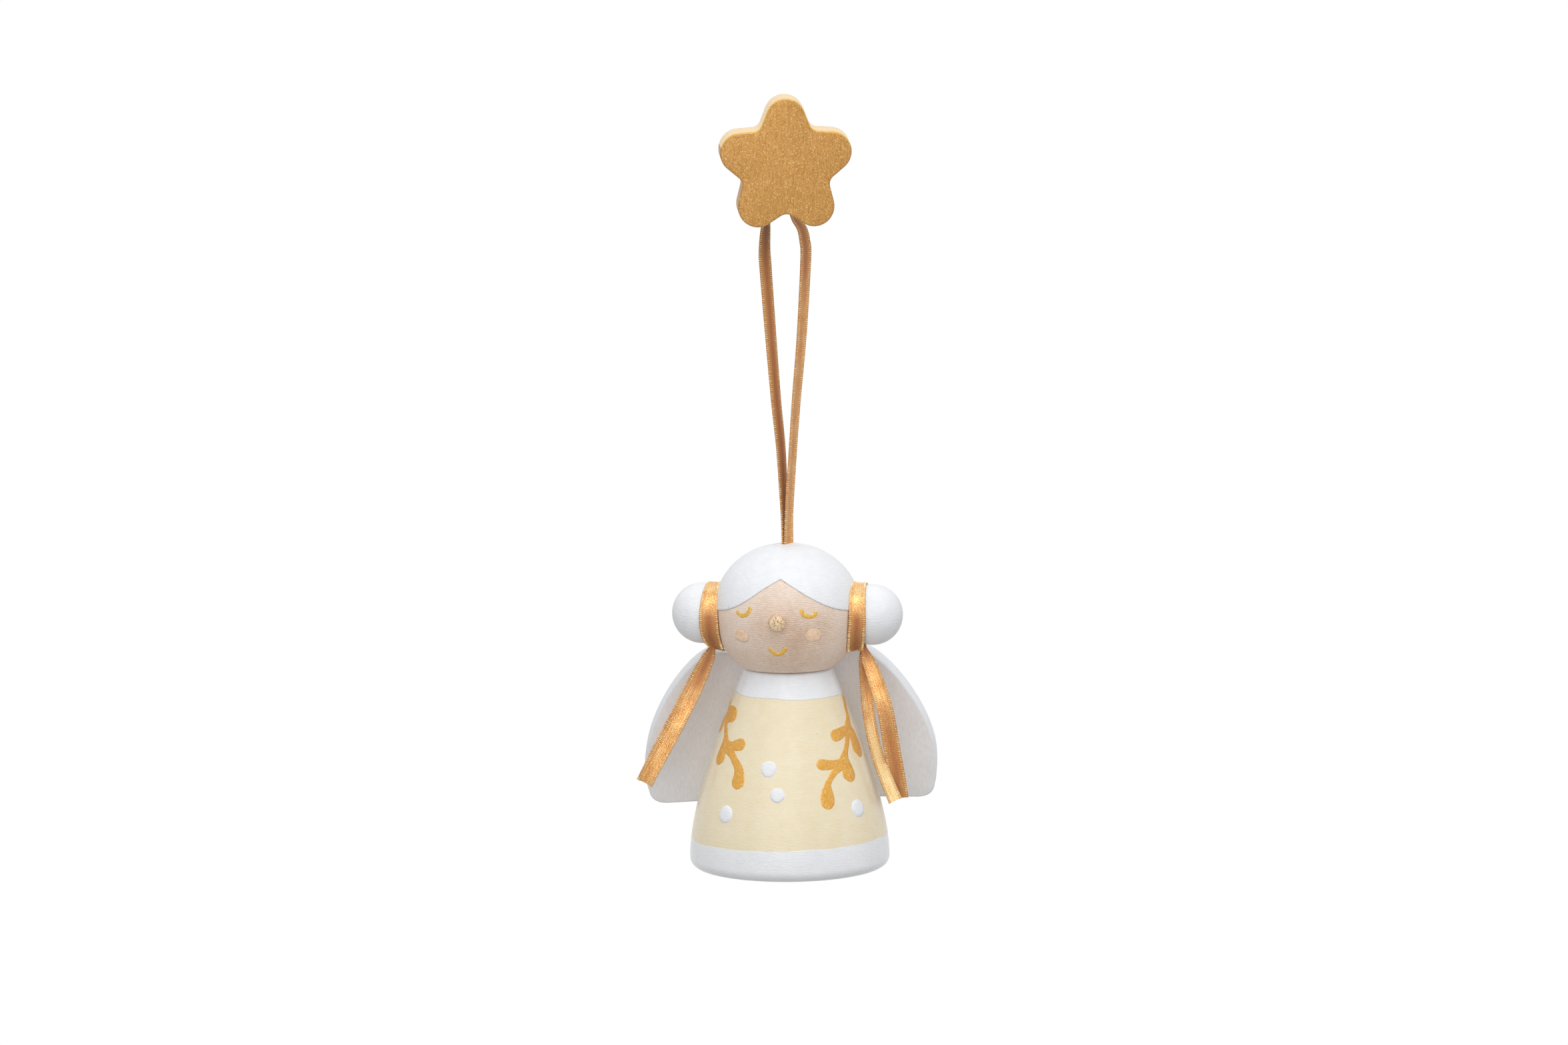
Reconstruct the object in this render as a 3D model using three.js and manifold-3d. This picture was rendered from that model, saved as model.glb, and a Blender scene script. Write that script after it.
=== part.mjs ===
// A turned and painted wooden angel that hangs by a ribbon loop from a flat wooden star.
// Millimetres, +Z up, the angel faces -Y. The origin is on the axis of the peg behind the star,
// where the ribbon loop hangs.

import * as THREE from 'three';
import { mergeVertices } from 'three/addons/utils/BufferGeometryUtils.js';
import Module from 'manifold-3d';

const wasm = await Module();
wasm.setup();

// Fits
const glueGap = 0.3; // between two faces that are glued together
const dowelClearance = 0.3; // round a dowel or peg in its bore, and past its end
const ribbonGap = 0.3; // between a ribbon and what it lies on or ends at

// Ribbon
const ribbonWidth = 3;
const ribbonThickness = 0.4;

// Hanging height
const hangDrop = 65; // from the peg's axis down to the top of the head

// Star
const starYaw = THREE.MathUtils.degToRad(6.5); // the star hangs turned a little on its ribbon
const starTilt = THREE.MathUtils.degToRad(3); // and its top leans forward
const starRiseHeight = 5.2; // its centre above the peg's axis
const starStandoff = 0.7; // more room for the ribbon behind the leaning star
const starThickness = 5.5;
const starExtraHeight = 0.57; // how much taller it is than a regular star
const lobeCount = 5;
const lobeRingRadius = 8.65; // from the star's centre to a lobe's centre
const lobeRadius = 3.6;
const valleyRingRadius = 8.05; // from the star's centre to a valley between two lobes
const valleyRoundLength = 1.2; // how far from a valley its rounding starts
const starEdgeRadius = 0.7; // rounding of its edges

// Peg behind the star
const pegRadius = 0.9;
const pegDepth = 3; // how far it goes into the star
const pegHeadRadius = 2.4;
const pegHeadThickness = 1;

// Head
const headYaw = THREE.MathUtils.degToRad(-4.5); // the head is glued on turned a little to its right
const headHeight = 22.1;
const headRadius = 13.1;
const headFootRadius = 8.7;
const headWaist = 10.2; // height of its widest place
const crownFullness = 0.565; // how far the crown's curve reaches towards its corner
const jawFlare = 0.56; // share of the widening that the jaw's first handle takes
const jawRise = 0.2; // and how high that handle is, as a share of the waist's height
const jawFullness = 0.5; // how far below the waist the jaw's curve turns in, as a share of its height
const ribbonHoleRadius = 1.95;
const knotPocketTop = 13; // height of the pocket's ceiling above the head's foot
const knotRoom = 1; // round the knot in its pocket
const knotHeight = 4.4;
const stubDrop = 1; // how far the knot's strands end below the head's top, so that the head can tip

// Nose
const noseRadius = 1.45;
const noseHeight = 10.5; // above the head's foot
const noseProud = 1.9; // how far it stands out of the face
const noseSunk = 5; // how far it goes in
const noseDome = 0.5;

// Buns
const bunRadius = 5.5;
const bunHeight = 9.65; // above the head's foot
const bunFlatDepth = 1.5; // how deep the head's side is planed for a bun
const bunCut = 1.9; // how much of the ball is cut away at its seat
const bunNeckRadius = 4.55; // turned down at the seat for the ribbon
const bunDowelRadius = 2;
const bunDowelLength = 12;

// Ribbon round each bun
const wrapInset = 0.05; // from the bun's seat out to the ribbon's inner edge
const wrapSlant = 0.3; // how far the turn runs along the bun
const wrapOpening = THREE.MathUtils.degToRad(38); // left open below for the knot
const wrapSteps = 24;
const bowKnotWidth = 3.2;
const bowKnotHeight = 1.9;

// Neck
const neckDowelRadius = 3.5;
const neckDowelLength = 14;
const neckDowelInHead = 7;

// Body
const bodyHeight = 36.6;
const baseRadius = 18.1;
const bodyTopRadius = 8.1;
const baseRound = 1.9;
const bellFootHandle = 10; // how long the bell's side stays upright at its foot
const bellTopHandle = 10; // how long it keeps its slope at its top
const bellTopFlare = 3.6; // how much it widens over that length

// Wing board
const wingLean = THREE.MathUtils.degToRad(11); // its top leans forward with the body's back
const wingRoll = THREE.MathUtils.degToRad(1.4); // the board is glued on a little askew
const wingFlatTop = 7.2; // from the body's axis to the flat on its back, at the body's top
const wingThickness = 4.5;
const wingBottom = 9.45; // above the base
const wingHeight = 29.3;
const wingHalfSpan = 26.6;
const wingWidest = 7.5; // height of its widest place above its bottom edge
const wingShoulder = 12.4; // from the middle to the highest place
const wingDip = 4.8; // how far the top edge dips in the middle
const wingArch = 0.8; // how far the bottom edge rises in the middle
const wingCorner = 3.8; // size of the rounded lower corners
const wingCornerHeel = 0.18; // share of the corner that stays level before it turns up
const wingCornerToe = 0.13; // share of the corner that is left to widen above it
const wingCornerTurn = 0.68; // how high the corner has turned up, as a share of its size
const wingUpperHandle = 8.8;
const wingShoulderHandle = 5.2;
const wingDipHandles = [0.7, 0.4]; // where the top edge starts down and levels out, as shares of the shoulder
const wingDowelRadius = 1.5;
const wingDowelLength = 10;
const wingDowelInBoard = 3;
const wingDowelHeights = { wing_dowel_lower: 7, wing_dowel_upper: 17.5 }; // above the board's bottom edge

// Facets
const roundSteps = 44;
const bunSteps = 28;
const smallRoundSteps = 18;
const profileSteps = 8;

// Heights worked out from the sizes above
const headTopZ = -hangDrop;
const headFootZ = headTopZ - headHeight;
const bodyTopZ = headFootZ - glueGap;
const baseZ = bodyTopZ - bodyHeight;
const bunZ = headFootZ + bunHeight;
const headFlatX = headRadius - bunFlatDepth;
const bunSeatX = headFlatX + glueGap;
const wrapCentreX = bunSeatX + wrapInset + ribbonWidth / 2;
const wrapRadius = bunNeckRadius + ribbonGap + ribbonThickness / 2;
const bunNeckLength = wrapInset + ribbonWidth + wrapSlant / 2 + ribbonGap;
const bowKnotZ = bunZ - bunNeckRadius - ribbonGap - bowKnotHeight / 2;
const tailTopZ = bowKnotZ - bowKnotHeight / 2 - ribbonGap;
const starBackY = -(ribbonWidth / 2 + ribbonGap + starStandoff);
const cutterSize = 4 * baseRadius; // larger than any piece that is cut

// Finishes
const goldPaint = { color: '#ca9a5a', roughness: 0.38, metalness: 0.6 };
const satin = { color: '#b98a52', roughness: 0.45, metalness: 0.1 };
const bareBeech = { color: '#d8bd9f', roughness: 0.62, metalness: 0 };
const whitePaint = { color: '#eeeff2', roughness: 0.5, metalness: 0 };
const creamPaint = { color: '#efe7d3', roughness: 0.5, metalness: 0 };
const whitewash = { color: '#d2c8bd', roughness: 0.7, metalness: 0 };

const point2 = (x, y) => new THREE.Vector2(x, y);
const point3 = (x, y, z) => new THREE.Vector3(x, y, z);

// A geometry with its shared vertices merged and its collapsed triangles dropped
function merged(geometry) {
  const bare = geometry.clone();
  bare.deleteAttribute('normal');
  bare.deleteAttribute('uv');
  const joined = mergeVertices(bare, 1e-4);
  const corners = joined.index.array;
  const kept = [];
  for (let i = 0; i < corners.length; i += 3) {
    const [a, b, c] = corners.slice(i, i + 3);
    if (a !== b && b !== c && c !== a) kept.push(a, b, c);
  }
  joined.setIndex(kept);
  return joined;
}

// A solid that can be cut and joined
function solid(geometry) {
  const joined = merged(geometry);
  return new wasm.Manifold(new wasm.Mesh({
    numProp: 3,
    vertProperties: new Float32Array(joined.attributes.position.array),
    triVerts: new Uint32Array(joined.index.array),
  }));
}

// The geometry of a cut or joined solid
function shaped(body) {
  const { vertProperties, triVerts } = body.getMesh();
  const geometry = new THREE.BufferGeometry();
  geometry.setAttribute('position', new THREE.BufferAttribute(vertProperties, 3));
  geometry.setIndex(new THREE.BufferAttribute(triVerts, 1));
  return geometry;
}

function piece(name, geometry, finish) {
  const mesh = new THREE.Mesh(geometry, new THREE.MeshStandardMaterial(finish));
  mesh.name = name;
  return mesh;
}

// A turned piece about Z, from a profile of (radius, height) that starts and ends on the axis
function turned(profile, steps) {
  return merged(new THREE.LatheGeometry(profile, steps).rotateX(Math.PI / 2));
}

// A plain round bar about Z between two heights
function bar(radius, low, high, steps = smallRoundSteps) {
  return turned([point2(0, low), point2(radius, low), point2(radius, high), point2(0, high)], steps);
}

// A dowel about Z with chamfered ends
function dowel(radius, length) {
  const chamfer = radius / 4;
  const half = length / 2;
  return turned([
    point2(0, -half),
    point2(radius - chamfer, -half),
    point2(radius, chamfer - half),
    point2(radius, half - chamfer),
    point2(radius - chamfer, half),
    point2(0, half),
  ], smallRoundSteps);
}

// A flat ribbon along its points. Each point is {at, across}: its place, and the way its width runs.
function ribbon(route, steps) {
  const centre = new THREE.CatmullRomCurve3(route.map((p) => p.at), false, 'catmullrom', 0.5);
  const across = new THREE.CatmullRomCurve3(route.map((p) => p.across), false, 'catmullrom', 0.5);
  const u = ribbonWidth / 2;
  const v = ribbonThickness / 2;
  const edge = ribbonThickness / 4;
  const section = [
    [u, edge - v], [u, v - edge], [u - edge, v], [edge - u, v],
    [-u, v - edge], [-u, edge - v], [edge - u, -v], [u - edge, -v],
  ];
  const sides = section.length;
  const positions = [];
  for (let step = 0; step <= steps; step += 1) {
    const place = centre.getPoint(step / steps);
    const along = centre.getTangent(step / steps);
    const width = across.getPoint(step / steps);
    width.addScaledVector(along, -width.dot(along)).normalize();
    const normal = along.clone().cross(width);
    for (const [a, b] of section) {
      positions.push(...place.clone().addScaledVector(width, a).addScaledVector(normal, b));
    }
  }
  const corners = [];
  for (let step = 0; step < steps; step += 1) {
    for (let side = 0; side < sides; side += 1) {
      const next = (side + 1) % sides;
      const here = step * sides;
      const ahead = here + sides;
      corners.push(here + side, here + next, ahead + next);
      corners.push(here + side, ahead + next, ahead + side);
    }
  }
  const last = steps * sides;
  for (let side = 1; side < sides - 1; side += 1) {
    corners.push(0, side + 1, side);
    corners.push(last, last + side, last + side + 1);
  }
  const geometry = new THREE.BufferGeometry();
  geometry.setAttribute('position', new THREE.Float32BufferAttribute(positions, 3));
  geometry.setIndex(corners);
  return geometry;
}

// A width that lies level, turned from +X towards +Y
function level(degrees) {
  const turn = THREE.MathUtils.degToRad(degrees);
  return point3(Math.cos(turn), Math.sin(turn), 0);
}

// Star: five round lobes joined by straight flanks, with rounded edges and a blind hole for the peg
function starOutline() {
  const shape = new THREE.Shape();
  const step = (2 * Math.PI) / lobeCount;
  const onRing = (radius, angle) => point2(radius * Math.cos(angle), radius * Math.sin(angle));
  for (let lobe = 0; lobe < lobeCount; lobe += 1) {
    const angle = Math.PI / 2 + lobe * step;
    const centre = onRing(lobeRingRadius, angle);
    const valley = onRing(valleyRingRadius, angle + step / 2);
    const toValley = valley.clone().sub(centre);
    const flank = Math.acos(lobeRadius / toValley.length());
    const reach = toValley.angle() - flank - angle;
    const half = ((reach % (2 * Math.PI)) + 2 * Math.PI) % (2 * Math.PI);
    shape.absarc(centre.x, centre.y, lobeRadius, angle - half, angle + half, false);
    const down = onRing(valleyRoundLength, angle + half + Math.PI / 2);
    const up = onRing(valleyRoundLength, angle + step - half + Math.PI / 2);
    const before = valley.clone().sub(down);
    const after = valley.clone().add(up);
    shape.lineTo(before.x, before.y);
    shape.quadraticCurveTo(valley.x, valley.y, after.x, after.y);
  }
  shape.closePath();
  return shape;
}

// The frame of the star and its peg: the peg runs along Y, and the star's front faces -Y
function starFrame() {
  const frame = new THREE.Group();
  frame.rotation.set(starTilt, 0, starYaw, 'ZXY');
  return frame;
}

function star() {
  const plate = new THREE.ExtrudeGeometry(starOutline(), {
    depth: starThickness - 2 * starEdgeRadius,
    curveSegments: profileSteps,
    bevelThickness: starEdgeRadius,
    bevelSize: starEdgeRadius,
    bevelOffset: -starEdgeRadius,
    bevelSegments: 2,
  });
  const regularHeight = lobeRingRadius * (1 + Math.cos(Math.PI / lobeCount)) + 2 * lobeRadius;
  plate.scale(1, 1 + starExtraHeight / regularHeight, 1).rotateX(Math.PI / 2);
  plate.translate(0, starBackY - starEdgeRadius, starRiseHeight);
  const bore = bar(pegRadius + dowelClearance, -pegDepth - dowelClearance, ribbonWidth);
  bore.rotateX(-Math.PI / 2).translate(0, starBackY, 0);
  return piece('star', shaped(solid(plate).subtract(solid(bore))), goldPaint);
}

function ribbonPeg() {
  const headFront = ribbonWidth / 2 + ribbonGap;
  const headBack = headFront + pegHeadThickness;
  const profile = [
    point2(0, starBackY - pegDepth),
    point2(pegRadius, starBackY - pegDepth),
    point2(pegRadius, headFront),
    point2(pegHeadRadius, headFront),
    point2(pegHeadRadius, headBack - pegHeadThickness / 3),
    point2(pegHeadRadius - pegHeadThickness / 2, headBack),
    point2(0, headBack),
  ];
  return piece('ribbon_peg', turned(profile, smallRoundSteps).rotateX(-Math.PI / 2), bareBeech);
}

// Hanging ribbon: up from the head's hole, over the peg and down again.
// A point of a strand is [x, y, share of the drop, turn of the width in degrees].
const mouthTurn = 70; // how the two strands lie in the head's hole
const strandOffset = 0.3; // from the hole's axis to each strand
const leftStrand = [
  [-0.32, 0.25, 0.9, 67],
  [-0.8, 0.25, 0.735, 62],
  [-1.6, 0.1, 0.595, 59],
  [-2.45, -0.1, 0.41, 54],
  [-3.25, -0.35, 0.22, 49],
  [-3.38, -0.39, 0.175, 51],
  [-3.2, -0.37, 0.12, 58],
  [-2.8, -0.32, 0.07, 74],
  [-2.0, -0.23, 0.022, 90],
];
const rightStrand = [
  [1.25, 0.14, 0.02, 94],
  [1.05, 0.12, 0.05, 86],
  [1.95, 0.22, 0.085, 70],
  [3.2, 0.35, 0.115, 60],
  [3.72, 0.41, 0.15, 56],
  [3.85, 0.42, 0.2, 55],
  [3.0, 0.2, 0.41, 59],
  [1.9, 0, 0.595, 63],
  [1.2, -0.15, 0.735, 66],
  [0.45, -0.25, 0.9, 68],
];

function hangingRibbon() {
  const strand = ([x, y, share, turn]) => ({ at: point3(x, y, -hangDrop * share), across: level(turn) });
  const mouth = (side) => {
    const aside = level(mouthTurn - 90).multiplyScalar(side * strandOffset);
    return { at: aside.setZ(headTopZ + ribbonGap / 2), across: level(mouthTurn) };
  };
  const crownRadius = pegRadius + ribbonGap + ribbonThickness / 2;
  const { quaternion } = starFrame();
  const crown = (degrees) => {
    const angle = THREE.MathUtils.degToRad(degrees);
    const at = point3(crownRadius * Math.cos(angle), 0, crownRadius * Math.sin(angle));
    return { at: at.applyQuaternion(quaternion), across: point3(0, 1, 0).applyQuaternion(quaternion) };
  };
  const route = [
    mouth(-1),
    ...leftStrand.map(strand),
    ...[135, 90, 45].map(crown),
    ...rightStrand.map(strand),
    mouth(1),
  ];
  return piece('hanging_ribbon', ribbon(route, 3 * (route.length - 1)), satin);
}

// The knot that stops the ribbon inside the head, with the two strands that rise from it
function ribbonKnot() {
  const pocketRadius = neckDowelRadius + dowelClearance;
  const knotRadius = pocketRadius - knotRoom;
  const ceiling = headFootZ + knotPocketTop;
  const knotZ = ceiling - ribbonGap - knotHeight / 2;
  const knot = new THREE.SphereGeometry(knotRadius, smallRoundSteps, profileSteps);
  knot.rotateX(Math.PI / 2).scale(1, 1, knotHeight / 2 / knotRadius).translate(0, 0, knotZ);
  const stubTop = headTopZ - stubDrop;
  const stubThickness = 2 * strandOffset + ribbonThickness;
  const stub = new THREE.BoxGeometry(ribbonWidth, stubThickness, stubTop - knotZ);
  stub.rotateZ(THREE.MathUtils.degToRad(mouthTurn)).translate(0, 0, (stubTop + knotZ) / 2);
  return piece('ribbon_knot', shaped(solid(knot).add(solid(stub))), satin);
}

// Head: turned, planed flat on both sides for the buns, and bored for the dowels, nose and ribbon
function headProfile() {
  const upper = headHeight - headWaist;
  const jaw = new THREE.CubicBezierCurve(
    point2(headFootRadius, 0),
    point2(headFootRadius + (headRadius - headFootRadius) * jawFlare, headWaist * jawRise),
    point2(headRadius, headWaist * jawFullness),
    point2(headRadius, headWaist),
  );
  const crown = new THREE.CubicBezierCurve(
    point2(headRadius, headWaist),
    point2(headRadius, headWaist + upper * crownFullness),
    point2(headRadius * crownFullness, headHeight),
    point2(0, headHeight),
  );
  return [point2(0, 0), ...jaw.getPoints(profileSteps), ...crown.getPoints(profileSteps + 2).slice(1)];
}

function head() {
  let body = solid(turned(headProfile(), roundSteps).translate(0, 0, headFootZ));
  const pocket = bar(neckDowelRadius + dowelClearance, -headHeight, knotPocketTop);
  body = body.subtract(solid(pocket.translate(0, 0, headFootZ)));
  const hole = bar(ribbonHoleRadius, headFootZ, headTopZ + headHeight);
  body = body.subtract(solid(hole));
  for (const side of [-1, 1]) {
    const plane = new THREE.BoxGeometry(cutterSize, cutterSize, cutterSize);
    plane.translate(side * (headFlatX + cutterSize / 2), 0, bunZ);
    body = body.subtract(solid(plane));
    body = body.subtract(solid(bunBore(side)));
  }
  return piece('head', shaped(body.subtract(solid(noseCutter()))), bareBeech);
}

// The bore that a bun's dowel fills, in the head and in the bun
function bunBore(side) {
  const middle = (headFlatX + bunSeatX) / 2;
  const half = bunDowelLength / 2 + dowelClearance;
  const bore = bar(bunDowelRadius + dowelClearance, middle - half, middle + half);
  return bore.rotateY((side * Math.PI) / 2).translate(0, 0, bunZ);
}

function noseCutter() {
  const inner = headRadius - noseSunk - dowelClearance;
  const cutter = bar(noseRadius + dowelClearance, inner, 2 * headRadius);
  return cutter.rotateX(Math.PI / 2).translate(0, 0, headFootZ + noseHeight);
}

function nosePeg() {
  const inner = headRadius - noseSunk;
  const tip = headRadius + noseProud;
  const dome = new THREE.EllipseCurve(0, tip - noseDome, noseRadius, noseDome, 0, Math.PI / 2);
  const profile = [point2(0, inner), point2(noseRadius, inner), ...dome.getPoints(profileSteps / 2)];
  profile[profile.length - 1].x = 0;
  const peg = turned(profile, smallRoundSteps).rotateX(Math.PI / 2);
  return piece('nose_peg', peg.translate(0, 0, headFootZ + noseHeight), bareBeech);
}

// A bun: a turned ball with a neck for its ribbon, flat at its seat and bored for its dowel
function bun(name, side) {
  const centre = bunRadius - bunCut;
  const start = Math.asin((bunNeckLength - centre) / bunRadius);
  const ball = new THREE.EllipseCurve(0, centre, bunRadius, bunRadius, start, Math.PI / 2);
  const profile = [
    point2(0, 0),
    point2(bunNeckRadius, 0),
    point2(bunNeckRadius, bunNeckLength),
    ...ball.getPoints(profileSteps),
  ];
  profile[profile.length - 1].x = 0;
  const knob = turned(profile, bunSteps).rotateY((side * Math.PI) / 2).translate(side * bunSeatX, 0, bunZ);
  return piece(name, shaped(solid(knob).subtract(solid(bunBore(side)))), whitePaint);
}

function bunDowel(name, side) {
  const middle = (headFlatX + bunSeatX) / 2;
  const pin = dowel(bunDowelRadius, bunDowelLength).rotateY(Math.PI / 2);
  return piece(name, pin.translate(side * middle, 0, bunZ), bareBeech);
}

// One open turn of ribbon round a bun, from the knot and back to it
function wrapRoute(side) {
  const route = [];
  for (let step = 0; step <= wrapSteps; step += 1) {
    const share = step / wrapSteps;
    const angle = -Math.PI / 2 + wrapOpening / 2 + share * (2 * Math.PI - wrapOpening);
    const x = side * (wrapCentreX + wrapSlant * (share - 0.5));
    const outwards = point3(0, Math.cos(angle), Math.sin(angle));
    const at = point3(x, 0, bunZ).addScaledVector(outwards, wrapRadius);
    route.push({ at, across: point3(1, 0, 0) });
  }
  return route;
}

// The least gap between points of a turn that lie more than half a turn apart
function leastGap(route) {
  let least = Infinity;
  route.forEach((here, i) => {
    for (const there of route.slice(i + wrapSteps / 2 + 1)) {
      least = Math.min(least, here.at.distanceTo(there.at) - ribbonThickness);
    }
  });
  return least;
}

function bunRibbon(name, side) {
  const route = wrapRoute(side);
  console.log(`${name}: least gap to itself ${leastGap(route).toFixed(2)} mm`);
  return piece(name, ribbon(route, wrapSteps), satin);
}

function bowKnot(name, side) {
  const opening = 2 * wrapRadius * Math.sin(wrapOpening / 2) - 2 * ribbonGap;
  const lump = new THREE.SphereGeometry(0.5, smallRoundSteps, profileSteps);
  lump.scale(bowKnotWidth, opening, bowKnotHeight).translate(side * wrapCentreX, 0, bowKnotZ);
  return piece(name, lump, satin);
}

// Ribbon tails. A point is [out, y, down from the knot, turn of the width in degrees, tilt of the width
// in degrees]. The left tails spread out from their knot, the right ones hang beside the body's flank.
const tails = {
  left_tail_front: {
    side: -1,
    points: [
      [0.4, -0.6, 0, 0, 20],
      [2.6, -1.2, 5, 0, 25],
      [5.9, -1.5, 11.7, 0, 27],
      [9.4, -1.3, 18.2, 0, 27],
      [12.9, -0.7, 24.6, 0, 27],
    ],
  },
  left_tail_back: {
    side: -1,
    points: [
      [0.5, 0.6, 0, 0, 20],
      [2.95, 0.3, 5, 0, 25],
      [6.4, 0, 11.7, 0, 27],
      [9.85, 0, 18.2, 0, 27],
      [13.05, 0.4, 24.6, 0, 27],
    ],
  },
  right_tail_inner: {
    side: 1,
    besideBody: true,
    points: [
      [5.55, 0.7, 0, 40, 0],
      [4.88, 0.6, 5.8, 48, -4],
      [3, 0.3, 12.4, 46, -10],
      [2.14, -0.8, 18.4, 40, -18],
      [2.33, -1.9, 23, 30, -22],
      [2.89, -2.3, 27, 25, -24],
    ],
  },
  right_tail_outer: {
    side: 1,
    besideBody: true,
    points: [
      [5.95, -0.7, 0, 0, -20],
      [7.05, -1.3, 4.8, -4, -20],
      [6.85, -1.6, 10.4, -4, -14],
      [5.93, -1, 16.4, 0, -11],
      [4.85, 0, 22, 4, -10],
      [3.89, 0.5, 27, 8, -10],
    ],
  },
};

function tail(name, { side, besideBody = false, points }) {
  const route = points.map(([out, y, down, turn, tilt]) => {
    const z = tailTopZ - down;
    const from = besideBody ? bellReach(z) : wrapCentreX;
    const at = point3(side * (from + out), y, z);
    const rise = Math.tan(THREE.MathUtils.degToRad(tilt));
    return { at, across: level(turn).setZ(-rise) };
  });
  return piece(name, ribbon(route, 2 * (route.length - 1)), satin);
}

// Body: a turned bell with a rounded foot, planed on its back for the wing board
function bodyFlank() {
  const flank = new THREE.CubicBezierCurve(
    point2(baseRadius, baseRound),
    point2(baseRadius, baseRound + bellFootHandle),
    point2(bodyTopRadius + bellTopFlare, bodyHeight - bellTopHandle),
    point2(bodyTopRadius, bodyHeight),
  );
  return flank.getPoints(profileSteps + 2);
}

function bodyProfile() {
  const foot = new THREE.EllipseCurve(
    baseRadius - baseRound, baseRound, baseRound, baseRound, -Math.PI / 2, 0,
  );
  return [
    point2(0, 0),
    ...foot.getPoints(profileSteps / 2),
    ...bodyFlank().slice(1),
    point2(0, bodyHeight),
  ];
}

// How far the body reaches out at a height
function bellReach(z) {
  const flank = bodyFlank();
  const height = THREE.MathUtils.clamp(z - baseZ, baseRound, bodyHeight);
  const next = Math.max(1, flank.findIndex((p) => p.y >= height));
  const [below, above] = [flank[next - 1], flank[next]];
  return THREE.MathUtils.mapLinear(height, below.y, above.y, below.x, above.x);
}

// The frame of the wing board: its origin is on the flat, level with the board's bottom edge,
// its Z runs up the board and its Y points backwards
function wingFrame() {
  const frame = new THREE.Group();
  const drop = bodyHeight - wingBottom;
  frame.position.set(0, wingFlatTop + drop * Math.tan(wingLean), bodyTopZ - drop);
  frame.rotation.set(wingLean, -wingRoll, 0);
  frame.updateMatrix();
  return frame;
}

function wingBore(height) {
  const inBody = wingDowelLength - wingDowelInBoard - glueGap;
  const bore = bar(
    wingDowelRadius + dowelClearance,
    -inBody - dowelClearance,
    glueGap + wingDowelInBoard + dowelClearance,
  );
  return bore.rotateX(-Math.PI / 2).translate(0, 0, height);
}

function body() {
  let bell = solid(turned(bodyProfile(), roundSteps).translate(0, 0, baseZ));
  const neckBoreDepth = neckDowelLength - neckDowelInHead + dowelClearance;
  const neckBore = bar(neckDowelRadius + dowelClearance, bodyTopZ - neckBoreDepth, bodyTopZ + headHeight);
  bell = bell.subtract(solid(neckBore));
  const { matrix } = wingFrame();
  const plane = new THREE.BoxGeometry(cutterSize, cutterSize, 2 * cutterSize);
  plane.translate(0, cutterSize / 2, 0).applyMatrix4(matrix);
  bell = bell.subtract(solid(plane));
  for (const height of Object.values(wingDowelHeights)) {
    bell = bell.subtract(solid(wingBore(height).applyMatrix4(matrix)));
  }
  return piece('body', shaped(bell), creamPaint);
}

function neckDowel() {
  const middle = headFootZ + neckDowelInHead - neckDowelLength / 2;
  const pin = dowel(neckDowelRadius, neckDowelLength).translate(0, 0, middle);
  return piece('neck_dowel', pin, bareBeech);
}

// One half of the wing board's outline, from the middle of its bottom edge to the middle of its top edge
function halfWing() {
  const path = new THREE.Path();
  const top = wingHeight;
  path.moveTo(0, wingArch);
  path.lineTo(wingHalfSpan - wingCorner, 0);
  path.quadraticCurveTo(
    wingHalfSpan - wingCornerHeel * wingCorner, 0,
    wingHalfSpan - wingCornerToe * wingCorner, wingCornerTurn * wingCorner,
  );
  path.quadraticCurveTo(wingHalfSpan, wingCorner, wingHalfSpan, wingWidest);
  path.bezierCurveTo(
    wingHalfSpan, wingWidest + wingUpperHandle,
    wingShoulder + wingShoulderHandle, top,
    wingShoulder, top,
  );
  const [start, finish] = wingDipHandles.map((share) => share * wingShoulder);
  path.bezierCurveTo(start, top, finish, top - wingDip, 0, top - wingDip);
  return path.getPoints(profileSteps);
}

function wingBoard() {
  const right = halfWing();
  const left = right.slice(1, -1).reverse().map((p) => point2(-p.x, p.y));
  const blank = new THREE.ExtrudeGeometry(new THREE.Shape([...right, ...left]), {
    depth: wingThickness,
    bevelEnabled: false,
  });
  blank.rotateX(Math.PI / 2).translate(0, wingThickness + glueGap, 0);
  let board = solid(blank);
  for (const height of Object.values(wingDowelHeights)) board = board.subtract(solid(wingBore(height)));
  return piece('wing_board', shaped(board), whitewash);
}

function wingDowel(name, height) {
  const outer = glueGap + wingDowelInBoard;
  const pin = dowel(wingDowelRadius, wingDowelLength).rotateX(Math.PI / 2);
  return piece(name, pin.translate(0, outer - wingDowelLength / 2, height), bareBeech);
}

// Assembly
const angel = new THREE.Group();

const hanger = starFrame();
hanger.add(star(), ribbonPeg());
angel.add(hanger, hangingRibbon(), ribbonKnot());

const turnedHead = new THREE.Group();
turnedHead.rotation.z = headYaw;
turnedHead.add(head(), nosePeg());
for (const [name, side] of Object.entries({ left: -1, right: 1 })) {
  turnedHead.add(
    bun(`${name}_bun`, side),
    bunDowel(`${name}_bun_dowel`, side),
    bunRibbon(`${name}_bun_ribbon`, side),
    bowKnot(`${name}_bow_knot`, side),
  );
}
for (const [name, shape] of Object.entries(tails)) turnedHead.add(tail(name, shape));
angel.add(turnedHead);

angel.add(body(), neckDowel());

const wings = wingFrame();
wings.add(wingBoard());
for (const [name, height] of Object.entries(wingDowelHeights)) wings.add(wingDowel(name, height));
angel.add(wings);

export default angel;
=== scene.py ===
import math

import bmesh
import bpy
import numpy as np
from mathutils import Matrix, Vector


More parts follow.
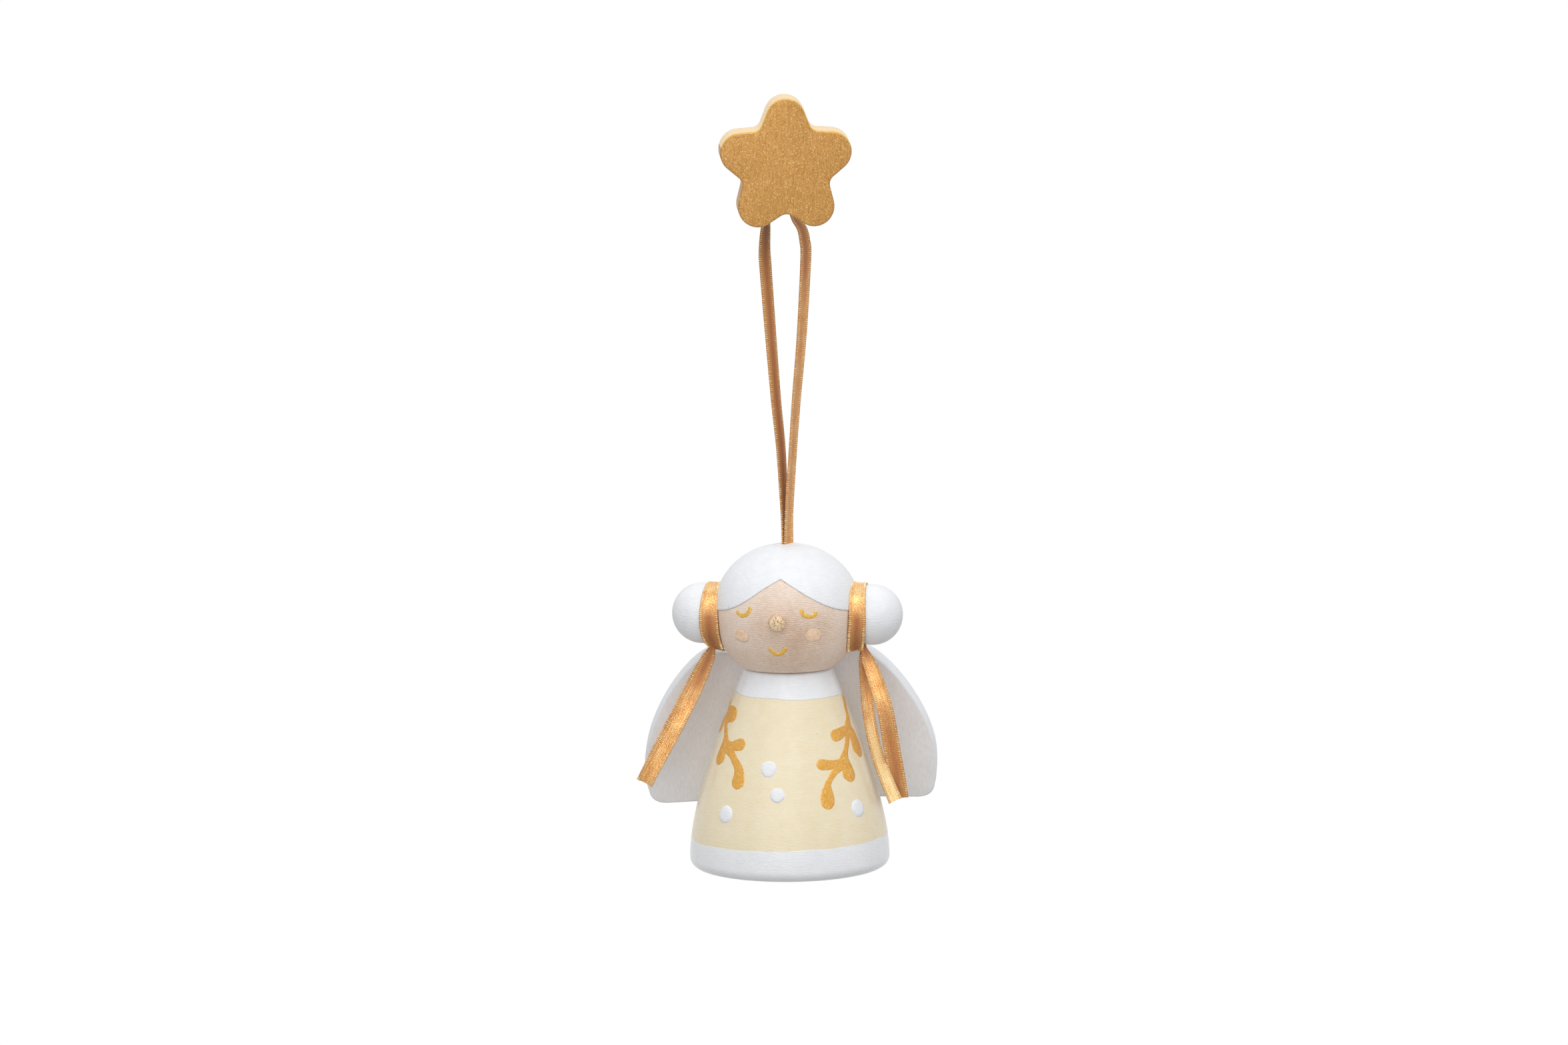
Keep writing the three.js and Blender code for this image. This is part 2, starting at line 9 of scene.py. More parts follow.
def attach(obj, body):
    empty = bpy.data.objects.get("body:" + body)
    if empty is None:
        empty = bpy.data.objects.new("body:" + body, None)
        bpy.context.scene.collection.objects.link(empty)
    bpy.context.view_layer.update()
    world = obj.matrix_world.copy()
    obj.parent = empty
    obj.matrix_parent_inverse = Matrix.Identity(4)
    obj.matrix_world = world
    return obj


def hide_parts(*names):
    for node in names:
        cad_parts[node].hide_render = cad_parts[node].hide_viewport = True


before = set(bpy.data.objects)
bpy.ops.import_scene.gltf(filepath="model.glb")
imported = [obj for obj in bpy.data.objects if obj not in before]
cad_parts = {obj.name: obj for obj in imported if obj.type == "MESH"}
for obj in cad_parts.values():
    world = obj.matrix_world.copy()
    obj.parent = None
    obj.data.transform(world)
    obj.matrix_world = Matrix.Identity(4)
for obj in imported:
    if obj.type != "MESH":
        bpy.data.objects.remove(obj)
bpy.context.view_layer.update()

# %% [markdown]
# # A hanging wooden angel
# The object is a small angel, turned on a lathe, painted by hand and hung from a wooden star by a satin
# ribbon. The imported model gives the place of every part, so each piece below is drawn in the same frame,
# in millimetres, and only turned to metres when its mesh is made.

# %% Millimetres
MM = 0.001


# %% [markdown]
# ## Camera
# The photograph was taken from far away with a long lens, a little from above and from the right, and the
# picture leans by half a degree. A camera could be placed by eye. Here its axes are worked out from those
# angles, so that one millimetre on the angel always covers the same 8.3 pixels as in the photograph.


# %% Camera
def new_object(name, data):
    made = bpy.data.objects.new(name, data)
    bpy.context.collection.objects.link(made)
    return made


FRAME_WIDTH, PIXELS_PER_MM = 2352, 8.3
SENSOR, DISTANCE = 36.0, 2200.0
TARGET = Vector((0.0, 0.0, -61.0))
TARGET_RIGHT_OF_CENTRE = 3.8 / PIXELS_PER_MM
AZIMUTH, PITCH, LEAN = (math.radians(a) for a in (2.5, 9.3, 0.58))

level_right = Vector((math.cos(AZIMUTH), math.sin(AZIMUTH), 0.0))
level_forward = Vector((-math.sin(AZIMUTH), math.cos(AZIMUTH), 0.0))
forward = level_forward * math.cos(PITCH) - Vector((0.0, 0.0, math.sin(PITCH)))
level_up = level_right.cross(forward)
picture_right = level_right * math.cos(LEAN) - level_up * math.sin(LEAN)
picture_up = level_right * math.sin(LEAN) + level_up * math.cos(LEAN)

camera_data = bpy.data.cameras.new("camera")
camera_data.sensor_fit = "HORIZONTAL"
camera_data.sensor_width = SENSOR
camera_data.lens = SENSOR * PIXELS_PER_MM * DISTANCE / FRAME_WIDTH
camera = new_object("camera", camera_data)
stand = TARGET - forward * DISTANCE - picture_right * TARGET_RIGHT_OF_CENTRE
axes = Matrix((picture_right, picture_up, -forward)).transposed().to_4x4()
camera.matrix_world = Matrix.Translation(stand * MM) @ axes
bpy.context.scene.camera = camera
print(f"camera: lens {camera_data.lens:.1f} mm, {DISTANCE:.0f} mm away")

# %% [markdown]
# ## Nodes and colours
# Every finish is a small node tree. One helper adds a node, sets its properties and fills its inputs with a
# value, a socket or another node, of which it takes the first output in use. The numbers are socket numbers:
# 1 to 4 of a Map Range are the two limits before and after, 2 and 3 of a Mix its numbers, 6 and 7 its colours.
# Colours are written as sRGB hex values, the way a paint program shows them, and Blender calculates with
# linear light, so one function converts them.


# %% Node helper and colour helper
def fill(tree, socket, value):
    if isinstance(value, bpy.types.Node):
        value = next(output for output in value.outputs if output.enabled)
    if isinstance(value, bpy.types.NodeSocket):
        tree.links.new(value, socket)
    else:
        socket.default_value = value


def add(tree, kind, inputs=None, **settings):
    node = tree.nodes.new(kind)
    for name, value in settings.items():
        setattr(node, name, value)
    for socket, value in (inputs or {}).items():
        fill(tree, node.inputs[socket], value)
    return node


def linear(code):
    parts = [int(code[i:i + 2], 16) / 255 for i in (1, 3, 5)]
    return tuple(c / 12.92 if c <= 0.04045 else ((c + 0.055) / 1.055) ** 2.4 for c in parts) + (1.0,)


def ramp(node, *stops):
    while len(node.color_ramp.elements) < len(stops):
        node.color_ramp.elements.new(0.5)
    for element, (position, code) in zip(node.color_ramp.elements, stops):
        element.position = position
        element.color = linear(code)
    return node


def empty_tree(owner):
    owner.use_nodes = True
    owner.node_tree.nodes.clear()
    return owner.node_tree


print("mid grey in linear light:", round(linear("#808080")[0], 3))

# %% [markdown]
# ## Studio
# The photograph has a pure white ground and very soft light from above and in front. A white ground could
# be made by flooding the floor with light, but that would bleach the angel too. Instead the world looks
# white to the camera and in reflections only, and lights the object like a tent that is bright at the top
# and dim at the sides.


# %% World
def seen_directly(tree):
    path = add(tree, "ShaderNodeLightPath").outputs
    seen = path["Is Camera Ray"]
    for kind in ("Is Glossy Ray", "Is Transmission Ray"):
        seen = add(tree, "ShaderNodeMath", {0: seen, 1: path[kind]}, operation="MAXIMUM")
    return seen


scene = bpy.context.scene
scene.view_settings.view_transform = "Standard"
scene.world = bpy.data.worlds.new("studio")
tree = empty_tree(scene.world)
ray = add(tree, "ShaderNodeTexCoord")
axis = add(tree, "ShaderNodeSeparateXYZ", {0: ray.outputs["Generated"]})
tent_light = add(tree, "ShaderNodeMapRange", {"Value": axis.outputs["Z"], 1: -0.1, 2: 0.95, 3: 0.4, 4: 0.97},
                 interpolation_type="SMOOTHSTEP")
tent = add(tree, "ShaderNodeBackground", {"Color": linear("#F5F6F8"), "Strength": tent_light})
white = add(tree, "ShaderNodeBackground", {"Color": linear("#FFFFFF"), "Strength": 1.0})
shown = add(tree, "ShaderNodeMixShader", {0: seen_directly(tree), 1: tent, 2: white})
add(tree, "ShaderNodeOutputWorld", {"Surface": shown})
print("world:", scene.world.name)

# %% Floor
FLOOR_Z, FLOOR_RADIUS, RIM_POINTS = -0.2, 0.6, 64
floor_mesh = bpy.data.meshes.new("floor")
rim = [(FLOOR_RADIUS * math.cos(a), FLOOR_RADIUS * math.sin(a), FLOOR_Z)
       for a in np.linspace(0, 2 * math.pi, RIM_POINTS, endpoint=False)]
floor_mesh.from_pydata(rim, [], [tuple(range(RIM_POINTS))])
floor = new_object("floor", floor_mesh)
paper = bpy.data.materials.new("matt_white_paper")
tree = empty_tree(paper)
seen = seen_directly(tree)
coords = add(tree, "ShaderNodeTexCoord")
flat = add(tree, "ShaderNodeVectorMath", {0: coords.outputs["Object"], 1: (1.0, 1.0, 0.0)}, operation="MULTIPLY")
away = add(tree, "ShaderNodeVectorMath", {0: flat}, operation="LENGTH")
fade = add(tree, "ShaderNodeMapRange", {"Value": away, 1: 0.06, 2: 0.15}, interpolation_type="SMOOTHSTEP")
fade = add(tree, "ShaderNodeMath", {0: fade, 1: seen}, operation="MULTIPLY")
# The camera sees white paper, and the object above it gets less light back, as if the paper lay far below
sheet = add(tree, "ShaderNodeMix", {0: seen, 6: linear("#A4A4A2"), 7: linear("#F0F0EE")}, data_type="RGBA")
matt = add(tree, "ShaderNodeBsdfDiffuse", {"Color": sheet})
blank = add(tree, "ShaderNodeEmission", {"Strength": 1.0})
both = add(tree, "ShaderNodeMixShader", {0: fade, 1: matt, 2: blank})
add(tree, "ShaderNodeOutputMaterial", {"Surface": both})
floor_mesh.materials.append(paper)
print("floor at", FLOOR_Z)

# %% Lamps
LIT_POINT = Vector((0.0, 0.0, -0.07))
for name, place, size, power in (
    ("key_softbox", (0.15, -0.45, 0.68), 0.5, 2.0),
    ("front_fill", (-0.14, -0.86, 0.04), 0.8, 2.25),
    ("right_card", (0.75, -0.15, -0.05), 0.4, 0.25),
):
    lamp_data = bpy.data.lights.new(name, "AREA")
    lamp_data.size = size
    lamp_data.energy = power
    aim = (LIT_POINT - Vector(place)).to_track_quat("-Z", "Y").to_matrix().to_4x4()
    new_object(name, lamp_data).matrix_world = Matrix.Translation(place) @ aim
    print(f"{name}: {power} W")

# %% [markdown]
# ## Finishes
# A finish starts from what the real one is. Each tree reads the piece's own Object coordinates, turned to
# millimetres by a Mapping node, so that a scale of 4 means a pattern a quarter of a millimetre wide. Grain
# and threads are noise that is stretched along them, and most finishes end with a colour and a fine relief.


# %% Start and end of a finish
def start_finish(name, roughness, metallic=0.0):
    material = bpy.data.materials.new(name)
    tree = empty_tree(material)
    shader = add(tree, "ShaderNodeBsdfPrincipled", {"Roughness": roughness, "Metallic": metallic})
    add(tree, "ShaderNodeOutputMaterial", {"Surface": shader})
    coords = add(tree, "ShaderNodeTexCoord")
    place = add(tree, "ShaderNodeMapping", {"Vector": coords.outputs["Object"], "Scale": (1 / MM,) * 3})
    return material, tree, shader, place


def stretched(tree, place, scale, detail, roughness=0.5):
    place = add(tree, "ShaderNodeMapping", {"Vector": place, "Scale": scale})
    return add(tree, "ShaderNodeTexNoise",
               {"Vector": place, "Scale": 1.0, "Detail": detail, "Roughness": roughness})


def end_finish(tree, shader, colour, height, strength, depth):
    relief = add(tree, "ShaderNodeBump", {"Height": height, "Strength": strength, "Distance": depth * MM})
    fill(tree, shader.inputs["Base Color"], colour)
    fill(tree, shader.inputs["Normal"], relief)


# %% [markdown]
# ### Satin ribbon
# The ribbon is 3 mm satin, woven with long warp threads that lie on top and shine, and with a firm selvedge
# along both edges. Object coordinates would not follow its twists, so each ribbon carries an attribute with
# the millimetres across and along it, and how it catches the light, which is painted into its colour: above 1
# it gets a painted highlight, below 0 the dull colour of its back, which on the face is painted shade, and
# below -0.6 a darker painted shade. The threads are noise stretched along it. As on a brushed metal,
# highlights spread across the threads, so a second attribute gives that direction.

# %% Satin ribbon
satin, tree, shader, place = start_finish("gold_satin_ribbon", 0.4, 0.3)
thread = add(tree, "ShaderNodeAttribute", attribute_name="thread").outputs["Vector"]
split = add(tree, "ShaderNodeSeparateXYZ", {0: thread}).outputs
gleam, dull_back_and_shade, shade, metallic, roughness = (
    add(tree, "ShaderNodeMapRange", {"Value": split["Z"], 1: low, 2: high, 3: at_low, 4: at_high})
    for low, high, at_low, at_high in ((0.9, 1.9, 0.0, 0.12), (-0.5, 0.5, 0.85, 0.0), (-2.0, -0.6, 0.58, 1.0),
                                       (-0.5, 0.5, 0.08, 0.5), (-0.5, 0.5, 0.5, 0.34)))
# Warp threads are about 0.1 mm apart, and the glints where weft threads rise are 0.2 mm wide
warp = stretched(tree, thread, (8.0, 0.15, 0.0), 2.0)
glint = stretched(tree, thread, (4.0, 5.5, 0.0), 1.0)
weave = add(tree, "ShaderNodeMix", {0: 0.55, 2: warp, 3: glint})
# Soft creases, 3 mm wide, turn parts of the satin to the light
crease = add(tree, "ShaderNodeTexNoise", {"Vector": place, "Scale": 0.35, "Detail": 1.0})
sheen = add(tree, "ShaderNodeMix", {0: 0.17, 2: weave, 3: crease})
sheen = add(tree, "ShaderNodeMath", {0: sheen, 1: gleam}, operation="ADD")
colour = ramp(add(tree, "ShaderNodeValToRGB", {"Fac": sheen}),
              (0.37, "#B8702E"), (0.5, "#EEAC62"), (0.62, "#FFE6AA"))
# Single-faced satin: the back is duller and redder, most of all along the middle. The same dull colour is
# painted on the face where it catches little light, as painted shade
edge = add(tree, "ShaderNodeMath", {0: split["X"]}, operation="ABSOLUTE")
dull = ramp(add(tree, "ShaderNodeValToRGB", {"Fac": edge}), (0.2, "#A86036"), (0.95, "#CC8E50"))
on_edge = add(tree, "ShaderNodeMapRange", {"Value": edge, 1: 0.9, 2: 1.05, 3: 0.0, 4: 0.45})
for share, other, blend in ((dull_back_and_shade, dull, "MIX"), (on_edge, linear("#A8662C"), "MIX"),
                            (1.0, shade, "MULTIPLY")):
    colour = add(tree, "ShaderNodeMix", {0: share, 6: colour, 7: other}, data_type="RGBA", blend_type=blend)
soft = add(tree, "ShaderNodeBump", {"Height": crease, "Strength": 0.24, "Distance": 1.0 * MM})
relief = add(tree, "ShaderNodeBump", {"Height": weave, "Strength": 0.35, "Distance": 0.04 * MM, "Normal": soft})
lie = add(tree, "ShaderNodeAttribute", attribute_name="across").outputs["Vector"]
lie = add(tree, "ShaderNodeVectorTransform", {0: lie},
          vector_type="VECTOR", convert_from="OBJECT", convert_to="WORLD")
for socket, value in (("Base Color", colour), ("Metallic", metallic), ("Roughness", roughness),
                      ("Normal", relief), ("Tangent", lie), ("Anisotropic", 0.6)):
    fill(tree, shader.inputs[socket], value)

selvedge, tree, shader, place = start_finish("gold_selvedge_thread", 0.38, 0.35)
noise = add(tree, "ShaderNodeTexNoise", {"Vector": place, "Scale": 2.5, "Detail": 1.0})
tone = ramp(add(tree, "ShaderNodeValToRGB", {"Fac": noise}), (0.35, "#EBBA76"), (0.65, "#FFF0C2"))
fill(tree, shader.inputs["Base Color"], tone)
print("ribbon finishes:", satin.name, selvedge.name)

# %% [markdown]
# ## Making meshes
# Pieces are grids of points that are joined to quads. One function makes the quads, and one makes a clean
# object: it joins doubled points, turns the faces outwards, smooths all but the sharp edges, and says which
# body the piece rides on and which imported part it stands for.

# %% Mesh helpers
SHARP = math.radians(40.0)


def grid_faces(rows, columns, wrap_rows=False):
    faces = []
    for r in range(rows if wrap_rows else rows - 1):
        for c in range(columns):
            below, beside = (r + 1) % rows, (c + 1) % columns
            faces.append((r * columns + c, r * columns + beside, below * columns + beside, below * columns + c))
    return faces


def joined(*parts):
    points, faces = [], []
    for part_points, part_faces in parts:
        start = len(points)
        points.extend(np.asarray(part_points, float).reshape(-1, 3).tolist())
        faces.extend(tuple(i + start for i in face) for face in part_faces)
    return points, faces


def hand_over(piece, body, slot, stands_for=None):
    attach(piece, body)
    if stands_for:
        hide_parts(stands_for)
    return piece


def make_piece(name, points, faces, materials, *rides, marks=None, material_of=None, cut=None):
    mesh = bpy.data.meshes.new(name)
    mesh.from_pydata((np.asarray(points, float).reshape(-1, 3) * MM).tolist(), [], faces)
    for material in materials:
        mesh.materials.append(material)
    if material_of is not None:
        mesh.polygons.foreach_set("material_index", material_of)
    for mark, values in (marks or {}).items():
        mesh.attributes.new(mark, "FLOAT_VECTOR", "POINT").data.foreach_set("vector", np.ravel(values))
    clean = bmesh.new()
    clean.from_mesh(mesh)
    bmesh.ops.remove_doubles(clean, verts=clean.verts, dist=1e-7)
    bmesh.ops.dissolve_degenerate(clean, edges=clean.edges, dist=1e-8)
    if cut:
        place, outward = cut
        bmesh.ops.bisect_plane(clean, geom=clean.verts[:] + clean.edges[:] + clean.faces[:], plane_co=place,
                               plane_no=outward, clear_outer=True)
        bmesh.ops.holes_fill(clean, edges=[e for e in clean.edges if e.is_boundary], sides=0)
    bmesh.ops.recalc_face_normals(clean, faces=clean.faces)
    clean.to_mesh(mesh)
    clean.free()
    mesh.polygons.foreach_set("use_smooth", [True] * len(mesh.polygons))
    mesh.set_sharp_from_angle(angle=SHARP)
    print(f"{name}: {len(mesh.vertices)} points, {len(mesh.polygons)} faces")
    return hand_over(new_object(name, mesh), *rides)


# %% Vector helpers
def unit(vectors):
    return vectors / np.linalg.norm(vectors, axis=-1, keepdims=True)


def together(*parts):
    return np.stack(np.broadcast_arrays(*parts), -1)


def rotated(points, rotation):
    return np.asarray(points, float) @ np.array(rotation).T


def level(degrees):
    turn = np.radians(np.asarray(degrees, float))
    return together(np.cos(turn), np.sin(turn), 0.0)


def run_of(line):
    return np.concatenate([[0.0], np.cumsum(np.linalg.norm(np.diff(line, axis=0), axis=1))])


def through(points, steps):
    p = np.asarray(points, float)
    p = np.vstack([2 * p[0] - p[1], p, 2 * p[-1] - p[-2]])
    t = np.linspace(0, len(p) - 3, steps + 1)
    i = np.minimum(t.astype(int), len(p) - 4)
    f = (t - i)[:, None]
    a, b, c, d = p[i], p[i + 1], p[i + 2], p[i + 3]
    return 0.5 * (2 * b + (c - a) * f + (2 * a - 5 * b + 4 * c - d) * f**2 + (3 * b - a - 3 * c + d) * f**3)


# %% [markdown]
# ## Ribbons
# A ribbon is a path with a direction across it at every point. Curve objects have one tilt value for that,
# which is hard to control on a twisting loop, so the strip is drawn point by point: a smooth curve through
# the places, another through the directions, and a thin section with thicker edges at every step.

# %% Ribbon strip
RIBBON_WIDTH, RIBBON_THICKNESS, EDGE_THICKNESS, SEAM_AT = 3.0, 0.15, 0.25, 1.24
RIBBON_HALF = RIBBON_WIDTH / 2
SECTION_U = RIBBON_HALF * np.sin(np.linspace(-math.pi / 2, math.pi / 2, 15))
SECTION_HALF = np.interp(np.abs(SECTION_U), [1.1, 1.3], [RIBBON_THICKNESS / 2, EDGE_THICKNESS / 2])
SECTION_HALF[[0, -1]] = 0.0
LOOP_U = np.concatenate([SECTION_U, SECTION_U[-2:0:-1]])
LOOP_V = np.concatenate([SECTION_HALF, -SECTION_HALF[-2:0:-1]])
STEPS_PER_MARK = 12
BACK_SHADE, BACK_LIGHT = 1.7, -0.6
selvedges = {}


def strip(centre, across, share=1.0, cup=0.0, shine=1.0):
    along = unit(np.gradient(centre, axis=0))
    across = unit(across - along * np.sum(across * along, axis=1, keepdims=True))
    normal = np.cross(along, across)
    share, cup, shine = (np.broadcast_to(value, len(centre))[:, None] for value in (share, cup, shine))

    def offset(u, v):
        rise = v + cup * (u / RIBBON_HALF) ** 2
        return centre[:, None] + across[:, None] * (u * share)[..., None] + normal[:, None] * rise[..., None]

    points = offset(LOOP_U[None], LOOP_V[None])
    rows, columns = points.shape[:2]
    faces = grid_faces(rows, columns)
    faces += [tuple(range(columns)), tuple(range((rows - 1) * columns, rows * columns))]
    # The back never catches the light, and lies in deeper shade than the face above it
    light = np.where(LOOP_V < 0, np.minimum(BACK_SHADE * shine, BACK_LIGHT), shine)
    marks = {"thread": together(LOOP_U, run_of(centre)[:, None], light),
             "across": np.broadcast_to(across[:, None], points.shape)}
    seams = [(offset(np.full((1, 1), side * SEAM_AT), np.zeros((1, 1)))[:, 0], across * side)
             for side in (-1, 1)]
    return points, faces, marks, seams


def ribbon_piece(name, body, stands_for, *shape, free=slice(None)):
    points, faces, marks, seams = strip(*shape)
    selvedges.setdefault(body, []).extend((seam[free], aside[free]) for seam, aside in seams)
    return make_piece(name, points, faces, [satin], body, "satin_ribbon", stands_for, marks=marks)


# %% [markdown]
# ### The hanging loop
# One length of ribbon rises from the hole in the head, passes over a peg behind the star and comes down
# again. Both strands show from end to end, twist a little and lean on each other where they enter the head.
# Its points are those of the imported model, so the loop lies exactly where its solid is.

# %% Hanging ribbon
HANG_DROP = 65.0
HEAD_TOP = -HANG_DROP
MOUTH_TURN, MOUTH_OPENING, MOUTH_RISE, STRAND_OFFSET = 70.0, 18.0, 0.15, 0.3
CROWN_RADIUS, CROWN_ANGLES = 1.4, (135, 90, 45)
STAR_TURN = Matrix.Rotation(math.radians(6.5), 3, "Z") @ Matrix.Rotation(math.radians(3.0), 3, "X")
# Each mark has x, y, the share of the drop and the ribbon's turn in degrees
LEFT_STRAND = [
    [-0.32, 0.25, 0.9, 67], [-0.8, 0.25, 0.735, 62], [-1.6, 0.1, 0.595, 59], [-2.45, -0.1, 0.41, 54],
    [-3.25, -0.35, 0.22, 49], [-3.38, -0.39, 0.175, 51], [-3.2, -0.37, 0.12, 58], [-2.8, -0.32, 0.07, 74],
    [-2.0, -0.23, 0.022, 90],
]
RIGHT_STRAND = [
    [1.25, 0.14, 0.02, 94], [1.05, 0.12, 0.05, 86], [1.95, 0.22, 0.085, 70], [3.2, 0.35, 0.115, 60],
    [3.72, 0.41, 0.15, 56], [3.85, 0.42, 0.2, 55], [3.0, 0.2, 0.41, 59], [1.9, 0.0, 0.595, 63],
    [1.2, -0.15, 0.735, 66], [0.45, -0.25, 0.9, 64],
]


def strand(marks):
    return [[x, y, -HANG_DROP * share] for x, y, share, _ in marks], [level(turn) for *_, turn in marks]


strand_aside = level(MOUTH_TURN - 90) * STRAND_OFFSET
mouth = np.array([0, 0, HEAD_TOP + MOUTH_RISE])
crown = rotated([[CROWN_RADIUS * math.cos(a), 0, CROWN_RADIUS * math.sin(a)] for a in np.radians(CROWN_ANGLES)],
                STAR_TURN)
(left_places, left_widths), (right_places, right_widths) = strand(LEFT_STRAND), strand(RIGHT_STRAND)
places = [mouth - strand_aside, *left_places, *crown, *right_places, mouth + strand_aside]
# At the hole the right strand opens towards the front and nearly covers the left one
widths = [level(MOUTH_TURN), *left_widths, *[rotated([0, 1, 0], STAR_TURN)] * len(crown), *right_widths,
          level(MOUTH_TURN - MOUTH_OPENING)]
steps = STEPS_PER_MARK * (len(places) - 1)
loop_line = through(places, steps)
# Under the star the satin lies in shade, and the left strand shows its dull back
loop_z, on_left = loop_line[:, 2], loop_line[:, 0] < 0
shine = np.where(on_left, np.interp(loop_z, [-22, -14, -8], [-0.05, -0.6, -1.2]),
                 np.interp(loop_z, [-22, -14, -8], [-0.05, -0.5, -0.9]))
# The ribbon is gathered where it enters the hole
share = np.interp(loop_z, [HEAD_TOP, HEAD_TOP + 9], [0.76, 1.0])
hanging_ribbon = ribbon_piece("hanging_ribbon_loop", "ribbon", "hanging_ribbon", loop_line,
                              through(widths, steps), share, 0.1, shine)
print(f"hanging ribbon: {run_of(loop_line)[-1]:.1f} mm from hole to hole")

# %% [markdown]
# ### The ribbon tails
# Under each bun two loose ends hang from the knot. The left pair lies almost in one line, the right pair
# crosses low down. Each tail starts inside its knot, so that no cut end shows at the top.

# %% Ribbon tails
HEAD_ANGLE = math.radians(-4.5)
HEAD_TURN = Matrix.Rotation(HEAD_ANGLE, 3, "Z")
WRAP_CENTRE, TAIL_TOP = 13.45, -84.5
# Side, body, cup, light at five places, and marks: outwards, y, down, turn and tilt in degrees
TAILS = {
    "left_tail_front": (-1, "left_tails", 0.12, (-1.2, -0.6, -0.05, 0.55, 0.95), [
        [0.0, -0.15, -2.6, 0, 12], [0.4, -0.6, 0, 0, 20], [2.6, -1.2, 5, 0, 25], [5.9, -1.5, 11.7, 0, 27],
        [9.4, -1.3, 18.2, 0, 27], [12.0, -1.0, 22.95, 0, 27], [12.9, -0.2, 24.6, 0, 27]]),
    "left_tail_back": (-1, "left_tails", -0.1, (-1.2, -0.5, 0.2, 0.5, 0.5), [
        [0.1, 0.3, -2.6, 0, 12], [0.5, 0.6, 0, 0, 20], [2.95, 0.3, 5, 0, 25], [6.4, 0, 11.7, 0, 27],
        [9.85, 0, 18.2, 0, 27], [13.05, 0.4, 24.6, 0, 27]]),
    "right_tail_inner": (1, "right_tails", 0.12, (-1.0, -0.6, 0.2, 1.2, 1.9), [
        [0.0, 0.35, -2.6, 30, 0], [0.2, 0.7, 0, 40, 0], [0.6, 0.6, 5.8, 48, -4], [1.2, 0.3, 12.4, 55, -10],
        [2.6, -0.8, 18.4, 58, -18], [4.4, -1.9, 23, 56, -22], [6.1, -2.3, 27, 50, -24]]),
    "right_tail_outer": (1, "right_tails", 0.12, (-1.4, 0.3, 0.7, -0.1, -0.4), [
        [0.0, -0.25, -2.6, 0, -12], [0.75, -0.7, 0, 0, -20], [2.65, -1.3, 4.8, -4, -20],
        [4.4, -1.6, 10.4, -4, -14], [5.3, -1, 16.4, 0, -11], [6.1, 0, 22, 4, -10], [6.75, 0.5, 27, 8, -10]]),
}
LIGHT_AT, KNOT_HIDES = [0, 5, 10, 15, 27], 3.2
for name, (side, body, cup, light, marks) in TAILS.items():
    places = rotated([[side * (WRAP_CENTRE + out), y, TAIL_TOP - down] for out, y, down, _, _ in marks],
                     HEAD_TURN)
    widths = [level(turn) - [0, 0, math.tan(math.radians(tilt))] for *_, turn, tilt in marks]
    steps = STEPS_PER_MARK * (len(places) - 1)
    line = through(places, steps)
    run = run_of(line)
    # Inside the knot the ribbon is gathered to a third of its width, and the pleats open slowly below it
    share = np.interp(run, [0, 1.6, 2.6, 4.2, 7, 11], [0.3, 0.3, 0.45, 0.78, 0.92, 1.0])
    piece = ribbon_piece(name + "_ribbon", body, name, line, rotated(through(widths, steps), HEAD_TURN), share,
                         cup, np.interp(run, LIGHT_AT, light), free=run > KNOT_HIDES)
    print(f"{name}: {run[-1]:.1f} mm long")

# %% [markdown]
# ### Ribbon round the buns
# Each bun has one turn of ribbon where it meets the head. It bridges from the ball to the head like a loose
# cuff, sags under the head and is gathered into the knot below. A cylinder could not do that, so each edge
# of the cuff has its own place and radius at a few turns round the bun, with smooth curves between them.

# %% Ribbon cuffs
BUN_Z = -77.7
CUFF_STEPS, CUFF_LIFT = 160, 0.12
# Turn in degrees (0 is the back, 90 the top, 180 the front), then x and radius of the inner and outer edge
CUFFS = {
    "left": (-1, [
        (-90, 11.8, 6.5, 14.0, 6.1), (-40, 12.1, 5.9, 14.7, 5.75), (0, 12.2, 5.5, 15.0, 5.66),
        (50, 12.2, 5.5, 14.7, 5.6), (90, 12.25, 5.4, 14.35, 5.5), (135, 12.1, 5.5, 15.0, 5.62),
        (180, 11.95, 5.5, 15.4, 5.66), (215, 11.75, 5.8, 15.2, 5.74), (240, 11.42, 6.4, 14.6, 5.95),
        (268, 11.42, 6.9, 13.9, 6.2)]),
    "right": (1, [
        (-90, 11.7, 6.4, 13.9, 6.0), (-40, 11.9, 6.1, 14.4, 5.75), (0, 12.0, 5.8, 14.7, 5.62),
        (50, 11.9, 5.8, 14.5, 5.6), (90, 11.85, 5.75, 14.4, 5.55), (135, 11.85, 6.2, 14.7, 5.62),
        (180, 11.85, 6.0, 14.87, 5.64), (215, 11.5, 6.3, 14.6, 5.72), (240, 11.2, 6.8, 14.2, 5.8),
        (268, 11.25, 6.75, 13.8, 5.95)]),
}
CUFF_LIGHT = [-90, 60, 125, 150, 180, 225, 250, 268], [-0.4, 0.4, 1.5, 0.7, -0.5, -1.2, -0.8, 0.0]
for name, (side, marks) in CUFFS.items():
    turn, *edges = through(marks, CUFF_STEPS).T
    spoke = together(0.0, np.cos(np.radians(turn)), np.sin(np.radians(turn)))
    inner, outer = (together(side * x, 0.0, BUN_Z) + spoke * r[:, None] for x, r in (edges[:2], edges[2:]))
    across = side * (outer - inner)
    middle = rotated((inner + outer) / 2 + CUFF_LIFT * spoke, HEAD_TURN)
    ribbon_piece(name + "_bun_cuff", "doll", name + "_bun_ribbon", middle, rotated(across, HEAD_TURN),
                 np.linalg.norm(across, axis=1) / RIBBON_WIDTH, -CUFF_LIFT, np.interp(turn, *CUFF_LIGHT),
                 free=(turn > -75) & (turn < 250))

# %% [markdown]
# ### Knots
# The loose ends are tied under each bun, and the loop is stopped by a larger knot inside the head. A knot is
# ribbon wound over itself, so it is drawn as a lump with slanted ridges, and carries the thread attribute
# round it like the ribbon does. The two strands that rise from the large knot are short strips.


